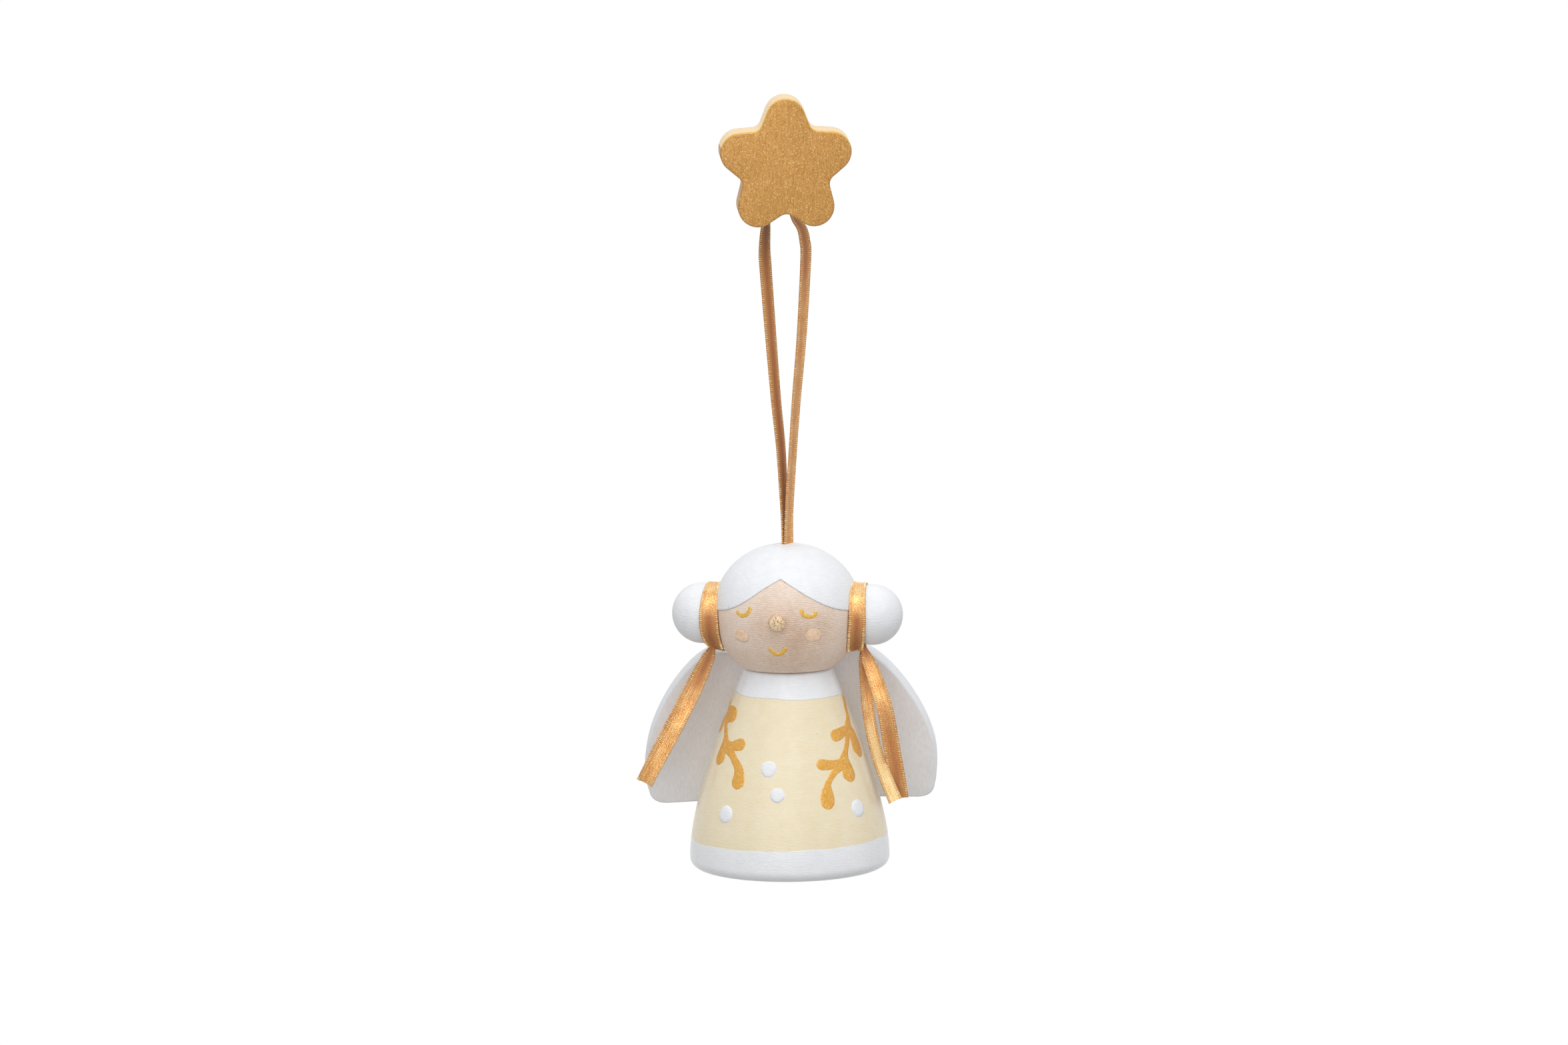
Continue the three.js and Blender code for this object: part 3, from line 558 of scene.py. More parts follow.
# %% Knots
def knot_lump(middle, wide, deep, high, ridges):
    rows, columns = 18, 40
    tilt = np.linspace(-math.pi / 2, math.pi / 2, rows)[:, None]
    turn = np.linspace(0, 2 * math.pi, columns, endpoint=False)[None]
    wound = np.sin(ridges * tilt + 2 * turn)
    swell = 1 + np.cos(tilt) * (0.1 * wound + 0.06 * np.sin(3 * turn + 2 * tilt))
    full = np.abs(np.cos(tilt)) ** 0.7 * swell
    points = together(wide * full * np.cos(turn), deep * full * np.sin(turn), high * np.sin(tilt)) / 2 + middle
    marks = {"thread": together(1.4 * wound, turn * wide, 1.0),
             "across": np.broadcast_to([0.0, 0.0, 1.0], points.shape)}
    return points, grid_faces(rows, columns), marks


TIE_Z, KNOT_Z, STRAND_TOP, STRAND_STEPS = -83.7, -76.6, -66.0, 20
# Width, depth, height and number of ridges
TIE_KNOT, HEAD_KNOT = (1.7, 1.9, 1.6, 5), (5.2, 5.2, 4.3, 7)
for name, side in (("left", -1), ("right", 1)):
    points, faces, marks = knot_lump([side * WRAP_CENTRE, 0.0, TIE_Z], *TIE_KNOT)
    make_piece(name + "_tie_knot", rotated(points, HEAD_TURN), faces, [satin], "doll", "satin_ribbon",
               name + "_bow_knot", marks=marks)

lumps = [knot_lump([0.0, 0.0, KNOT_Z], *HEAD_KNOT)]
for side in (-1, 1):
    line = together(*(side * strand_aside[:2]), np.linspace(KNOT_Z, STRAND_TOP, STRAND_STEPS))
    lumps.append(strip(line, np.tile(level(MOUTH_TURN), (STRAND_STEPS, 1)))[:3])
marks = {mark: np.concatenate([m[mark].reshape(-1, 3) for *_, m in lumps]) for mark in ("thread", "across")}
make_piece("knot_inside_head", *joined(*(lump[:2] for lump in lumps)), [satin], "knot", "satin_ribbon",
           "ribbon_knot", marks=marks)

# %% [markdown]
# ### Selvedge stitches
# Both edges of the ribbon show a ladder of short bright threads. Hundreds of them repeat along each path, so
# Geometry Nodes place them: the seam lines become curves, are cut into equal steps, and a small bead of 24
# faces is set on each step, turned across the ribbon. The result is made a plain mesh, one for each body.


# %% Stitch tree
def stitch_tree():
    tree = bpy.data.node_groups.new("selvedge_stitches", "GeometryNodeTree")
    for name, kind in (("Seams", "Geometry"), ("Spacing", "Float"), ("Stitch Length", "Float"),
                       ("Stitch Breadth", "Float"), ("Stitch Height", "Float"), ("Seed", "Int"),
                       ("Thread", "Material")):
        tree.interface.new_socket(name, in_out="INPUT", socket_type="NodeSocket" + kind)
    tree.interface.new_socket("Stitches", in_out="OUTPUT", socket_type="NodeSocketGeometry")
    sizes = add(tree, "NodeGroupInput").outputs
    line = add(tree, "GeometryNodeMeshToCurve", {"Mesh": sizes["Seams"]})
    even = add(tree, "GeometryNodeResampleCurve", {"Curve": line, "Length": sizes["Spacing"]}, mode="LENGTH")
    across = add(tree, "GeometryNodeInputNamedAttribute", {"Name": "across"}, data_type="FLOAT_VECTOR")
    tangent = add(tree, "GeometryNodeInputTangent")
    aim = add(tree, "FunctionNodeAlignRotationToVector", {"Vector": tangent}, axis="Y")
    aim = add(tree, "FunctionNodeAlignRotationToVector", {"Rotation": aim, "Vector": across},
              axis="X", pivot_axis="Y")
    bead = add(tree, "GeometryNodeMeshUVSphere", {"Segments": 6, "Rings": 4, "Radius": 0.5})
    round_bead = add(tree, "GeometryNodeSetShadeSmooth", {"Geometry": bead})
    size = add(tree, "ShaderNodeCombineXYZ",
               {0: sizes["Stitch Length"], 1: sizes["Stitch Breadth"], 2: sizes["Stitch Height"]})
    vary = add(tree, "FunctionNodeRandomValue", {2: 0.85, 3: 1.15, "Seed": sizes["Seed"]}, data_type="FLOAT")
    scale = add(tree, "ShaderNodeVectorMath", {0: size, "Scale": vary}, operation="SCALE")
    beads = add(tree, "GeometryNodeInstanceOnPoints",
                {"Points": even, "Instance": round_bead, "Rotation": aim, "Scale": scale})
    real = add(tree, "GeometryNodeRealizeInstances", {"Geometry": beads})
    done = add(tree, "GeometryNodeSetMaterial", {"Geometry": real, "Material": sizes["Thread"]})
    add(tree, "NodeGroupOutput", {0: done})
    return tree


stitches = stitch_tree()
sockets = {s.name: s.identifier for s in stitches.interface.items_tree if s.in_out == "INPUT"}
print("stitch inputs:", sorted(sockets))

# %% Stitches on every body
FIRST_SEED, BEAD_FACES = 7, 24
for seed, (body, seams) in enumerate(selvedges.items(), FIRST_SEED):
    mesh = bpy.data.meshes.new(body + "_stitches")
    points, edges, across = [], [], []
    for seam, direction in seams:
        edges.extend((len(points) + i, len(points) + i + 1) for i in range(len(seam) - 1))
        points.extend((seam * MM).tolist())
        across.extend(direction.tolist())
    mesh.from_pydata(points, edges, [])
    mesh.attributes.new("across", "FLOAT_VECTOR", "POINT").data.foreach_set("vector", np.ravel(across))
    piece = new_object(body + "_stitches", mesh)
    modifier = piece.modifiers.new("stitches", "NODES")
    modifier.node_group = stitches
    for name, value in (("Spacing", 0.34 * MM), ("Stitch Length", 0.7 * MM), ("Stitch Breadth", 0.2 * MM),
                        ("Stitch Height", 0.42 * MM), ("Seed", seed), ("Thread", selvedge)):
        modifier[sockets[name]] = value
    made = bpy.data.meshes.new_from_object(piece.evaluated_get(bpy.context.evaluated_depsgraph_get()))
    piece.modifiers.clear()
    piece.data = made
    hand_over(piece, body, "satin_ribbon")
    print(f"{piece.name}: {len(made.polygons) // BEAD_FACES} stitches")


# %% [markdown]
# ### Gold metallic paint
# The star, the sprigs and the closed eyes are painted with gold that holds mica flakes. Under soft light it
# looks like a warm ochre with bright specks. A Voronoi pattern gives one random value to each flake, an eighth
# to a sixth of a millimetre wide here, a little coarser than real flakes so that they show. The sawn edge of
# the star has a thinner coat, so the pale wood shines through, but only its sides that face up get that pale
# paint, which is painted light from above, and the line gold of the eyes paints a highlight on its front edge.

# %% Gold paints
gold_paints = {}
for name, low, high, spark, fineness, glow in (
    ("gold_metallic_face_paint", "#A87230", "#CE9A50", "#F4D494", 6.5, 0.55),
    ("gold_metallic_edge_paint", "#EFCA92", "#FDE6BC", "#FFF5D6", 8.0, 0.6),
    ("gold_metallic_brush_paint", "#D29038", "#EAB450", "#FFE8AC", 8.0, 0.5),
    ("gold_metallic_line_paint", "#D29A2E", "#EDBE4E", "#FFF0B0", 8.0, 0.7),
):
    material, tree, shader, place = start_finish(name, 0.42, 0.35)
    flakes = add(tree, "ShaderNodeTexVoronoi", {"Vector": place, "Scale": fineness})
    flake = add(tree, "ShaderNodeSeparateColor", {0: flakes.outputs["Color"]}).outputs
    grain = stretched(tree, place, (5.0, 5.0, 0.5), 3.0)
    both = add(tree, "ShaderNodeMix", {0: 0.4, 2: grain, 3: flake[1]})
    tone = ramp(add(tree, "ShaderNodeValToRGB", {"Fac": both}), (0.25, low), (0.7, high))
    glitter = add(tree, "ShaderNodeMapRange", {"Value": flake[0], 1: 0.84, 2: 0.98, 3: 0.0, 4: glow})
    colour = add(tree, "ShaderNodeMix", {0: glitter, 6: tone, 7: linear(spark)}, data_type="RGBA")
    end_finish(tree, shader, colour, both, 0.4, 0.05)
    gold_paints[name.split("_")[2]] = material
print("gold paints:", sorted(gold_paints))

# %% [markdown]
# ### Washed beech
# The face is bare beech with a thin pinkish white wash. Turning leaves fine wavy ripples round it, and the
# wood's short rays show as darker dashes. Distorted waves with a period of about 0.35 mm make the ripples,
# and stretched noise the dashes. The nose shows end grain, with dark pores.

# %% Wood finishes
NOSE_SHADOW_MIDDLE = (1.5, -13.0, -80.5)
wood = {}
for name, stops in (
    ("washed_beech", ((0.32, "#D2B29A"), (0.5, "#E8CEB9"), (0.7, "#F6E4D5"))),
    ("bare_beech", ((0.3, "#C49A6C"), (0.5, "#D9B78C"), (0.72, "#E9CFAA"))),
):
    material, tree, shader, place = start_finish(name, 0.6)
    ripple = add(tree, "ShaderNodeTexWave",
                 {"Vector": place, "Scale": 0.9, "Distortion": 6.0, "Detail": 2.0, "Detail Scale": 0.8},
                 wave_type="BANDS", bands_direction="Z").outputs["Fac"]
    rays = stretched(tree, place, (1.6, 1.6, 7.0), 3.0, 0.6)
    cloud = add(tree, "ShaderNodeTexNoise", {"Vector": place, "Scale": 0.16, "Detail": 2.0})
    wash = add(tree, "ShaderNodeMix", {0: 0.35, 2: rays, 3: cloud})
    wash = add(tree, "ShaderNodeMath", {0: ripple, 1: 0.06, 2: wash}, operation="MULTIPLY_ADD")
    # Around the mouth and under the nose the wash is darker, partly a painted shadow of the nose, and it grows
    # lighter towards the buns
    from_nose_shadow = add(tree, "ShaderNodeVectorMath", {0: place, 1: NOSE_SHADOW_MIDDLE}, operation="DISTANCE")
    painted_nose_shadow = add(tree, "ShaderNodeMapRange", {"Value": from_nose_shadow, 1: 1.0, 2: 11.0, 3: -0.1, 4: 0.09})
    wash = add(tree, "ShaderNodeMath", {0: wash, 1: painted_nose_shadow}, operation="ADD")
    tone = ramp(add(tree, "ShaderNodeValToRGB", {"Fac": wash}), *stops)
    height = add(tree, "ShaderNodeMath", {0: rays, 1: 1.5, 2: ripple}, operation="MULTIPLY_ADD")
    end_finish(tree, shader, tone, height, 0.5, 0.06)
    wood[name] = material

end_grain, tree, shader, place = start_finish("beech_end_grain", 0.55)
pores = add(tree, "ShaderNodeTexNoise", {"Vector": place, "Scale": 1.9, "Detail": 2.0, "Distortion": 1.2})
pore = add(tree, "ShaderNodeMapRange", {"Value": pores, 1: 0.36, 2: 0.47})
fibre = add(tree, "ShaderNodeTexNoise", {"Vector": place, "Scale": 4.0, "Detail": 3.0, "Roughness": 0.7})
end_tone = add(tree, "ShaderNodeMath", {0: pore, 1: 0.35, 2: fibre}, operation="MULTIPLY_ADD")
tone = ramp(add(tree, "ShaderNodeValToRGB", {"Fac": end_tone}),
            (0.46, "#9C5A28"), (0.66, "#D8AE7A"), (0.92, "#F6E3C4"))
end_finish(tree, shader, tone, end_tone, 0.4, 0.08)
print("wood finishes:", sorted(wood), end_grain.name)

# %% [markdown]
# ### Paint on wood
# The white paint is thin enough for the turning marks to show through as faint ripples. The body is cream
# with a white collar and a white hem, painted freehand, so their edges waver. One loop makes both paints:
# on the body, the height with a little noise decides which colour lies there.

# %% White and cream paint
COLLAR_EDGE, HEM_EDGE, PAINT_BLUR = -91.6, -117.95, 0.1
paints = {}
for name, roughness, depth in (("white_acrylic_paint", 0.5, 0.22), ("cream_acrylic_paint", 0.22, 0.14)):
    material, tree, shader, place = start_finish(name, roughness)
    mottle = add(tree, "ShaderNodeTexNoise", {"Vector": place, "Scale": 0.5, "Detail": 4.0, "Roughness": 0.65})
    colour = ramp(add(tree, "ShaderNodeValToRGB", {"Fac": mottle}), (0.3, "#EEF0F3"), (0.7, "#F5F6F8"))
    height = stretched(tree, place, (1.1, 1.1, 4.5), 3.0, 0.55)
    if name.startswith("cream"):
        cream = ramp(add(tree, "ShaderNodeValToRGB", {"Fac": mottle}), (0.3, "#F2E2BE"), (0.7, "#F6E9CB"))
        axis = add(tree, "ShaderNodeSeparateXYZ", {0: place}).outputs
        waver = add(tree, "ShaderNodeTexNoise", {"Vector": place, "Scale": 0.2, "Detail": 1.0})
        wavy = add(tree, "ShaderNodeMath", {0: waver, 1: 0.6, 2: axis["Z"]}, operation="MULTIPLY_ADD")
        bands = []
        for slope, edge, below, above in ((0.03, COLLAR_EDGE, 0.0, 1.0), (-0.02, HEM_EDGE, 1.0, 0.0)):
            slant = add(tree, "ShaderNodeMath", {0: axis["X"], 1: slope, 2: wavy}, operation="MULTIPLY_ADD")
            bands.append(add(tree, "ShaderNodeMapRange",
                             {"Value": slant, 1: edge, 2: edge + PAINT_BLUR, 3: below, 4: above}))
        band = add(tree, "ShaderNodeMath", {0: bands[0], 1: bands[1]}, operation="MAXIMUM")
        colour = add(tree, "ShaderNodeMix", {0: band, 6: cream, 7: colour}, data_type="RGBA")
        height = add(tree, "ShaderNodeMath", {0: band, 1: 1.6, 2: height}, operation="MULTIPLY_ADD")
    # A few grains of dust, about 0.2 mm wide, lie in the paint
    dust = add(tree, "ShaderNodeTexVoronoi", {"Vector": place, "Scale": 0.3}).outputs
    pick = add(tree, "ShaderNodeSeparateColor", {0: dust["Color"]})
    pick = add(tree, "ShaderNodeMath", {0: pick, 1: 0.55}, operation="GREATER_THAN")
    grain = add(tree, "ShaderNodeMapRange", {"Value": dust["Distance"], 1: 0.018, 2: 0.04, 3: 0.7, 4: 0.0})
    grain = add(tree, "ShaderNodeMath", {0: grain, 1: pick}, operation="MULTIPLY")
    colour = add(tree, "ShaderNodeMix", {0: grain, 6: colour, 7: linear("#A08258")}, data_type="RGBA")
    end_finish(tree, shader, colour, height, 0.5, depth)
    paints[name.split("_")[0]] = material
print("paints:", sorted(paints))

# %% [markdown]
# ### Whitewash, blush and pencil
# The wings are planed board under a thin whitewash, so their upright grain still shows, with a few brown
# pores. The cheeks are a dab of peach paint, and the drawn outlines are a soft grey line.

# %% Whitewash, blush and pencil
whitewash, tree, shader, place = start_finish("whitewashed_board", 0.65)
grain = stretched(tree, place, (4.5, 4.5, 0.2), 4.0, 0.6)
cloud = add(tree, "ShaderNodeTexNoise", {"Vector": place, "Scale": 0.12, "Detail": 2.0})
wash = add(tree, "ShaderNodeMix", {0: 0.35, 2: grain, 3: cloud})
tone = ramp(add(tree, "ShaderNodeValToRGB", {"Fac": wash}), (0.3, "#E9E5E4"), (0.5, "#F3F1F2"), (0.7, "#FAFAFB"))
pores = add(tree, "ShaderNodeTexVoronoi", {"Vector": place, "Scale": 0.22})
pore = add(tree, "ShaderNodeMapRange", {"Value": pores, 1: 0.025, 2: 0.05, 3: 0.7, 4: 0.0})
colour = add(tree, "ShaderNodeMix", {0: pore, 6: tone, 7: linear("#B88A5C")}, data_type="RGBA")
end_finish(tree, shader, colour, grain, 0.25, 0.05)

soft_marks = {}
for name, low, high in (("peach_blush_paint", "#ECC19B", "#FFE2C6"), ("grey_pencil_line", "#B6AAA0", "#D4C9C0")):
    material, tree, shader, place = start_finish(name, 0.65)
    mottle = add(tree, "ShaderNodeTexNoise", {"Vector": place, "Scale": 1.6, "Detail": 3.0, "Roughness": 0.7})
    tone = ramp(add(tree, "ShaderNodeValToRGB", {"Fac": mottle}), (0.35, low), (0.65, high))
    end_finish(tree, shader, tone, mottle, 0.4, 0.1)
    soft_marks[name.split("_")[0]] = material
print("other finishes:", whitewash.name, sorted(soft_marks))

# %% [markdown]
# ## Plates with rounded edges: the star and the wings
# Both are sawn from board, with their edges rounded by sanding. A Bevel modifier could round an extruded
# outline, but the outline's own corners would be rounded too, so the rows are drawn directly: each row is
# the outline, moved inwards and backwards along a quarter circle.


# %% Rounded plate
def bezier(a, b, c, d, steps):
    t = np.linspace(0, 1, steps + 1)[:, None]
    a, b, c, d = (np.asarray(p, float) for p in (a, b, c, d))
    return a * (1 - t) ** 3 + 3 * b * t * (1 - t) ** 2 + 3 * c * t**2 * (1 - t) + d * t**3


def evened(outline, steps):
    closed = np.vstack([outline, outline[:1]])
    run = run_of(closed)
    at = np.linspace(0, run[-1], steps, endpoint=False)
    return together(*(np.interp(at, run, column) for column in closed.T))


def rounded_plate(outline, front, back, edge, middle, steps=6):
    tangent = np.roll(outline, -1, 0) - np.roll(outline, 1, 0)
    outward = unit(together(tangent[:, 1], -tangent[:, 0]))
    bend = np.linspace(0, math.pi / 2, steps)
    rows = [(edge * (1 - math.sin(a)), back - edge * (1 - math.cos(a))) for a in bend]
    rows += [(edge * (1 - math.sin(a)), front + edge * (1 - math.cos(a))) for a in bend[::-1]]
    flats = [np.insert(np.tile(middle, (len(outline), 1)), 1, y, axis=1) for y in (back, front)]
    shells = [np.insert(outline - outward * inset, 1, y, axis=1) for inset, y in rows]
    points = np.stack([flats[0], *shells, flats[1]])
    return points, grid_faces(len(points), len(outline))


# %% Star outline
LOBES, LOBE_RING, LOBE_RADIUS, VALLEY_RING, VALLEY_ROUNDING, STAR_STRETCH = 5, 8.65, 3.6, 8.05, 1.2, 1.025


def on_ring(radius, angle):
    return radius * np.array([math.cos(angle), math.sin(angle)])


def star_outline():
    step = 2 * math.pi / LOBES
    outline = []
    for i in range(LOBES):
        angle = math.pi / 2 + i * step
        centre, valley = on_ring(LOBE_RING, angle), on_ring(VALLEY_RING, angle + step / 2)
        x, y = valley - centre
        half = (math.atan2(y, x) - math.acos(LOBE_RADIUS / math.hypot(x, y)) - angle) % (2 * math.pi)
        outline += [centre + on_ring(LOBE_RADIUS, a) for a in np.linspace(angle - half, angle + half, 40)]
        before = valley - on_ring(VALLEY_ROUNDING, angle + half + math.pi / 2)
        after = valley + on_ring(VALLEY_ROUNDING, angle + step - half + math.pi / 2)
        outline += [before * (1 - t) ** 2 + 2 * valley * t * (1 - t) + after * t**2
                    for t in np.linspace(0, 1, 12)]
    return np.array(outline) * [1.0, STAR_STRETCH]


# %% Star
STAR_FRONT, STAR_BACK, STAR_EDGE, STAR_RISE, STAR_POINTS = -8.0, -2.5, 0.45, 5.2, 400
SIDE_ROWS, HIGHLIGHT_ROWS = range(5, 8), range(8, 10)
outline = evened(star_outline(), STAR_POINTS)
points, faces = rounded_plate(outline, STAR_FRONT, STAR_BACK, STAR_EDGE, [0.0, 0.0])
# The sides that face up get the pale thin coat, as painted light from above, and above them the sanded
# front edge gets the line gold as a painted highlight
faces_up = unit(np.roll(outline, 1, 0) - np.roll(outline, -1, 0))[:, 0] > 0.3
thin_coat_and_painted_light = [(1 if row in SIDE_ROWS else 2 if row in HIGHLIGHT_ROWS else 0) * up
        for row in range(len(points) - 1) for up in faces_up]
make_piece("gold_star", rotated(points + [0.0, 0.0, STAR_RISE], STAR_TURN), faces,
           [gold_paints[k] for k in ("face", "edge", "line")], "star", "gold_paint", "star", material_of=thin_coat_and_painted_light)

# %% [markdown]
# ## Turned pieces
# The head, the buns, the nose, the peg and the body all come from a lathe, so each is a profile that is
# spun round an axis. The Screw modifier can do that, and here the same is done with one grid of points,
# because paint strokes later need to know where the surface is.


# %% Lathe
def turned(profile, steps=192, ring=False):
    profile = np.asarray(profile, float)
    angle = np.linspace(0, 2 * math.pi, steps, endpoint=False)
    r, h = profile[:, :1], profile[:, 1:]
    return together(r * np.sin(angle), -r * np.cos(angle), h), grid_faces(len(profile), steps, ring)


def arc(r, h, radius, start, end, steps=10):
    angle = np.radians(np.linspace(start, end, steps + 1))
    return together(r + radius * np.cos(angle), h + radius * np.sin(angle))


class Skin:
    def __init__(self, profile, foot, turn=0.0):
        self.r, self.h = profile.T
        self.foot, self.turn = foot, turn
        self.run = run_of(profile)
        slope = unit(together(np.gradient(self.h, self.run), -np.gradient(self.r, self.run)))
        self.out_r, self.out_h = slope.T

    def along(self, azimuth, run, lift=0.0):
        angle = np.radians(np.asarray(azimuth, float)) + self.turn
        radius = np.interp(run, self.run, self.r) + lift * np.interp(run, self.run, self.out_r)
        z = self.foot + np.interp(run, self.run, self.h) + lift * np.interp(run, self.run, self.out_h)
        return together(radius * np.sin(angle), -radius * np.cos(angle), z)

    def at(self, azimuth, height, lift=0.0):
        return self.along(azimuth, np.interp(height, self.h, self.run), lift)

    def under(self, points):
        azimuth = np.degrees(np.arctan2(points[..., 0], -points[..., 1]) - self.turn)
        return (azimuth + 180) % 360 - 180, points[..., 2] - self.foot


# %% Head
HEAD_FOOT, HEAD_HEIGHT, HEAD_RADIUS, WIDEST_AT = -87.1, 22.1, 13.1, 10.2
HOLE, HOLE_TOP, BORE, BORE_TOP = 1.95, 21.9, 3.8, 13.0
jaw = bezier((8.7, 0), (11.164, 2.04), (HEAD_RADIUS, 5.1), (HEAD_RADIUS, WIDEST_AT), 30)
skull = bezier((HEAD_RADIUS, WIDEST_AT), (HEAD_RADIUS, 16.92), (7.4, HEAD_HEIGHT), (0.0, HEAD_HEIGHT), 60)
head_line = np.vstack([jaw, skull[1:]])
head_line = head_line[head_line[:, 0] > HOLE]
head_skin = Skin(head_line, HEAD_FOOT, HEAD_ANGLE)
head_profile = np.vstack([[[BORE, 0.0]], head_line, [[HOLE, HOLE_TOP], [HOLE, BORE_TOP], [BORE, BORE_TOP]]])
points, faces = turned(head_profile, ring=True)
make_piece("turned_head", points + [0, 0, HEAD_FOOT], faces, [wood["washed_beech"]], "doll", "bare_beech",
           "head")

# %% [markdown]
# ### Hair
# The hair is thick white paint that ends in a centre parting. A colour mask would give a flat edge, so the
# paint is a thin shell of its own, 0.15 mm thick with a rounded lip, cut along the hairline. At the top it
# runs over the rim and a little way down into the ribbon's hole. Paint also closes the hole round the ribbon,
# as a small plug with a thin cap over the rim, which turns with the knot.

# %% Hair
PARTING, PAINT, SUNK, LIP_WIDTH, PAINT_FLOOR = 0.6, 0.15, -0.06, 0.3, 19.5
HAIRLINE_LEFT = [(PARTING, 17.48), (-13.1, 15.92), (-26.1, 13.92), (-37.0, 12.49), (-51.2, 11.39),
                 (-73.4, 10.47), (-95, 8.8), (-120, 5.8), (-150, 5.0), (-180, 5.0)]
HAIRLINE_RIGHT = [(PARTING, 17.48), (11.8, 16.14), (26.3, 14.2), (37.8, 12.81), (48.9, 11.84), (62.8, 11.11),
                  (80, 10.3), (97, 8.6), (120, 5.8), (150, 5.0), (180, 5.0)]
hair_left, hair_right = (through(marks, 200) for marks in (HAIRLINE_LEFT, HAIRLINE_RIGHT))
hairline = np.vstack([hair_left[::-1], hair_right[1:]])
hair_skin = Skin(np.vstack([head_line, [[HOLE, HOLE_TOP], [HOLE, PAINT_FLOOR]]]), HEAD_FOOT, HEAD_ANGLE)
azimuth = PARTING + 0.9 * np.arange(-200, 200)
start = np.interp(np.interp(azimuth, *hairline.T), head_skin.h, head_skin.run)
end = hair_skin.run[-1]
lip = [(0.0, SUNK), (0.0, 0.05), (0.04, 0.1), (0.1, 0.135), (0.2, PAINT)]
rows = [hair_skin.along(azimuth, start + ahead, lift) for ahead, lift in lip]
rows += [hair_skin.along(azimuth, start + LIP_WIDTH + (end - start - LIP_WIDTH) * t, PAINT)
         for t in np.linspace(0, 1, 60)]
rows += [hair_skin.along(azimuth, end + (start - end) * t, SUNK) for t in np.linspace(0, 1, 30)[:-1]]
make_piece("painted_hair", np.stack(rows), grid_faces(len(rows), len(azimuth), True), [paints["white"]],
           "doll", "white_paint")
plug_profile = [[0.0, -66.2], [1.5, -66.2], [1.7, -66.0], [1.7, -64.96], [2.35, -65.01], [2.3, -64.985],
                [1.9, -64.92], [1.2, -64.84], [0.0, -64.8]]
make_piece("paint_in_ribbon_hole", *turned(plug_profile, 64), [paints["white"]], "knot", "white_paint")

# %% [markdown]
# ### Buns, nose and peg
# A bun is a ball with a short neck that the ribbon hides. The nose is a short dowel with a domed end, so its
# tip shows end grain. It was glued in a little askew and leans to the right. The peg behind the star holds
# the loop.

# %% Buns
BUN_FOOT, BUN_MIDDLE, BUN_RADIUS = 11.9, 3.6, 5.5
bun_profile = np.vstack([[[0.0, 0.0], [4.4, 0.0], [4.6, 0.2], [4.6, 1.4]],
                         arc(0.0, BUN_MIDDLE, BUN_RADIUS, -14, 90, 40)])
bun_profile[-1, 0] = 0.0
for name, side in (("left", -1), ("right", 1)):
    points, faces = turned(bun_profile, 128)
    points = together(side * (BUN_FOOT + points[..., 2]), points[..., 1], BUN_Z + points[..., 0])
    make_piece(name + "_bun_ball", rotated(points, HEAD_TURN), faces, [paints["white"]], "doll", "white_paint",
               name + "_bun")

# %% Nose and peg
NOSE_Z = HEAD_FOOT + 9.95
NOSE_RADIUS, NOSE_TIP, NOSE_DOME, NOSE_LEAN = 1.45, 15.0, 0.7, 0.24
dome = np.linspace(0, math.pi / 2, 12)
nose_profile = np.vstack([[[0.0, 8.1], [NOSE_RADIUS, 8.1], [NOSE_RADIUS, 14.25]],
                          together(NOSE_RADIUS * np.cos(dome), NOSE_TIP - NOSE_DOME + NOSE_DOME * np.sin(dome))])
nose_profile[-1, 0] = 0.0
points, faces = turned(nose_profile, 64)
across, up, out = np.moveaxis(points, -1, 0)
points = together(across + NOSE_LEAN * (out - NOSE_TIP), -out, NOSE_Z + up)
make_piece("nose_dowel", rotated(points, HEAD_TURN), faces, [end_grain], "doll", "bare_beech", "nose_peg")

peg_profile = np.vstack([[[0.0, -5.5], [0.75, -5.5], [0.9, -5.3], [0.9, 1.8], [2.2, 1.8]],
                         arc(2.1, 2.1, 0.3, -60, 60), [[1.6, 2.75], [0.0, 2.8]]])
points, faces = turned(peg_profile, 48)
make_piece("turned_peg", rotated(points[..., [0, 2, 1]], STAR_TURN), faces, [wood["bare_beech"]], "star",
           "bare_beech", "ribbon_peg")

# %% [markdown]
# ### Body
# The body is a bell with a rounded foot. Its back is planed flat where the wing board is glued on, so the
# turned mesh is cut along a plane and closed again.

# %% Body
BASE, BODY_HEIGHT, FOOT_ROUNDING, BASE_RADIUS = -124.0, 36.6, 1.9, 18.1
WING_TILT = math.radians(11.0)
WING_TURN = Matrix.Rotation(WING_TILT, 3, "X") @ Matrix.Rotation(math.radians(-1.4), 3, "Y")
WING_FOOT = Vector((0.0, 7.2 + 27.15 * math.tan(WING_TILT), -114.55))
flank = bezier((BASE_RADIUS, FOOT_ROUNDING), (BASE_RADIUS, 11.9), (11.7, 26.6), (8.1, BODY_HEIGHT), 80)
body_skin = Skin(flank, BASE)
foot = arc(BASE_RADIUS - FOOT_ROUNDING, FOOT_ROUNDING, FOOT_ROUNDING, -90, 0, 14)
body_profile = np.vstack([[[0.0, 0.0]], foot, flank[1:-1],
                          [[8.0, 36.5], [7.8, BODY_HEIGHT], [0.0, BODY_HEIGHT]]])
points, faces = turned(body_profile)
make_piece("bell_body", points + [0, 0, BASE], faces, [paints["cream"]], "doll", "cream_paint", "body",
           cut=(WING_FOOT * MM, WING_TURN @ Vector((0, 1, 0))))

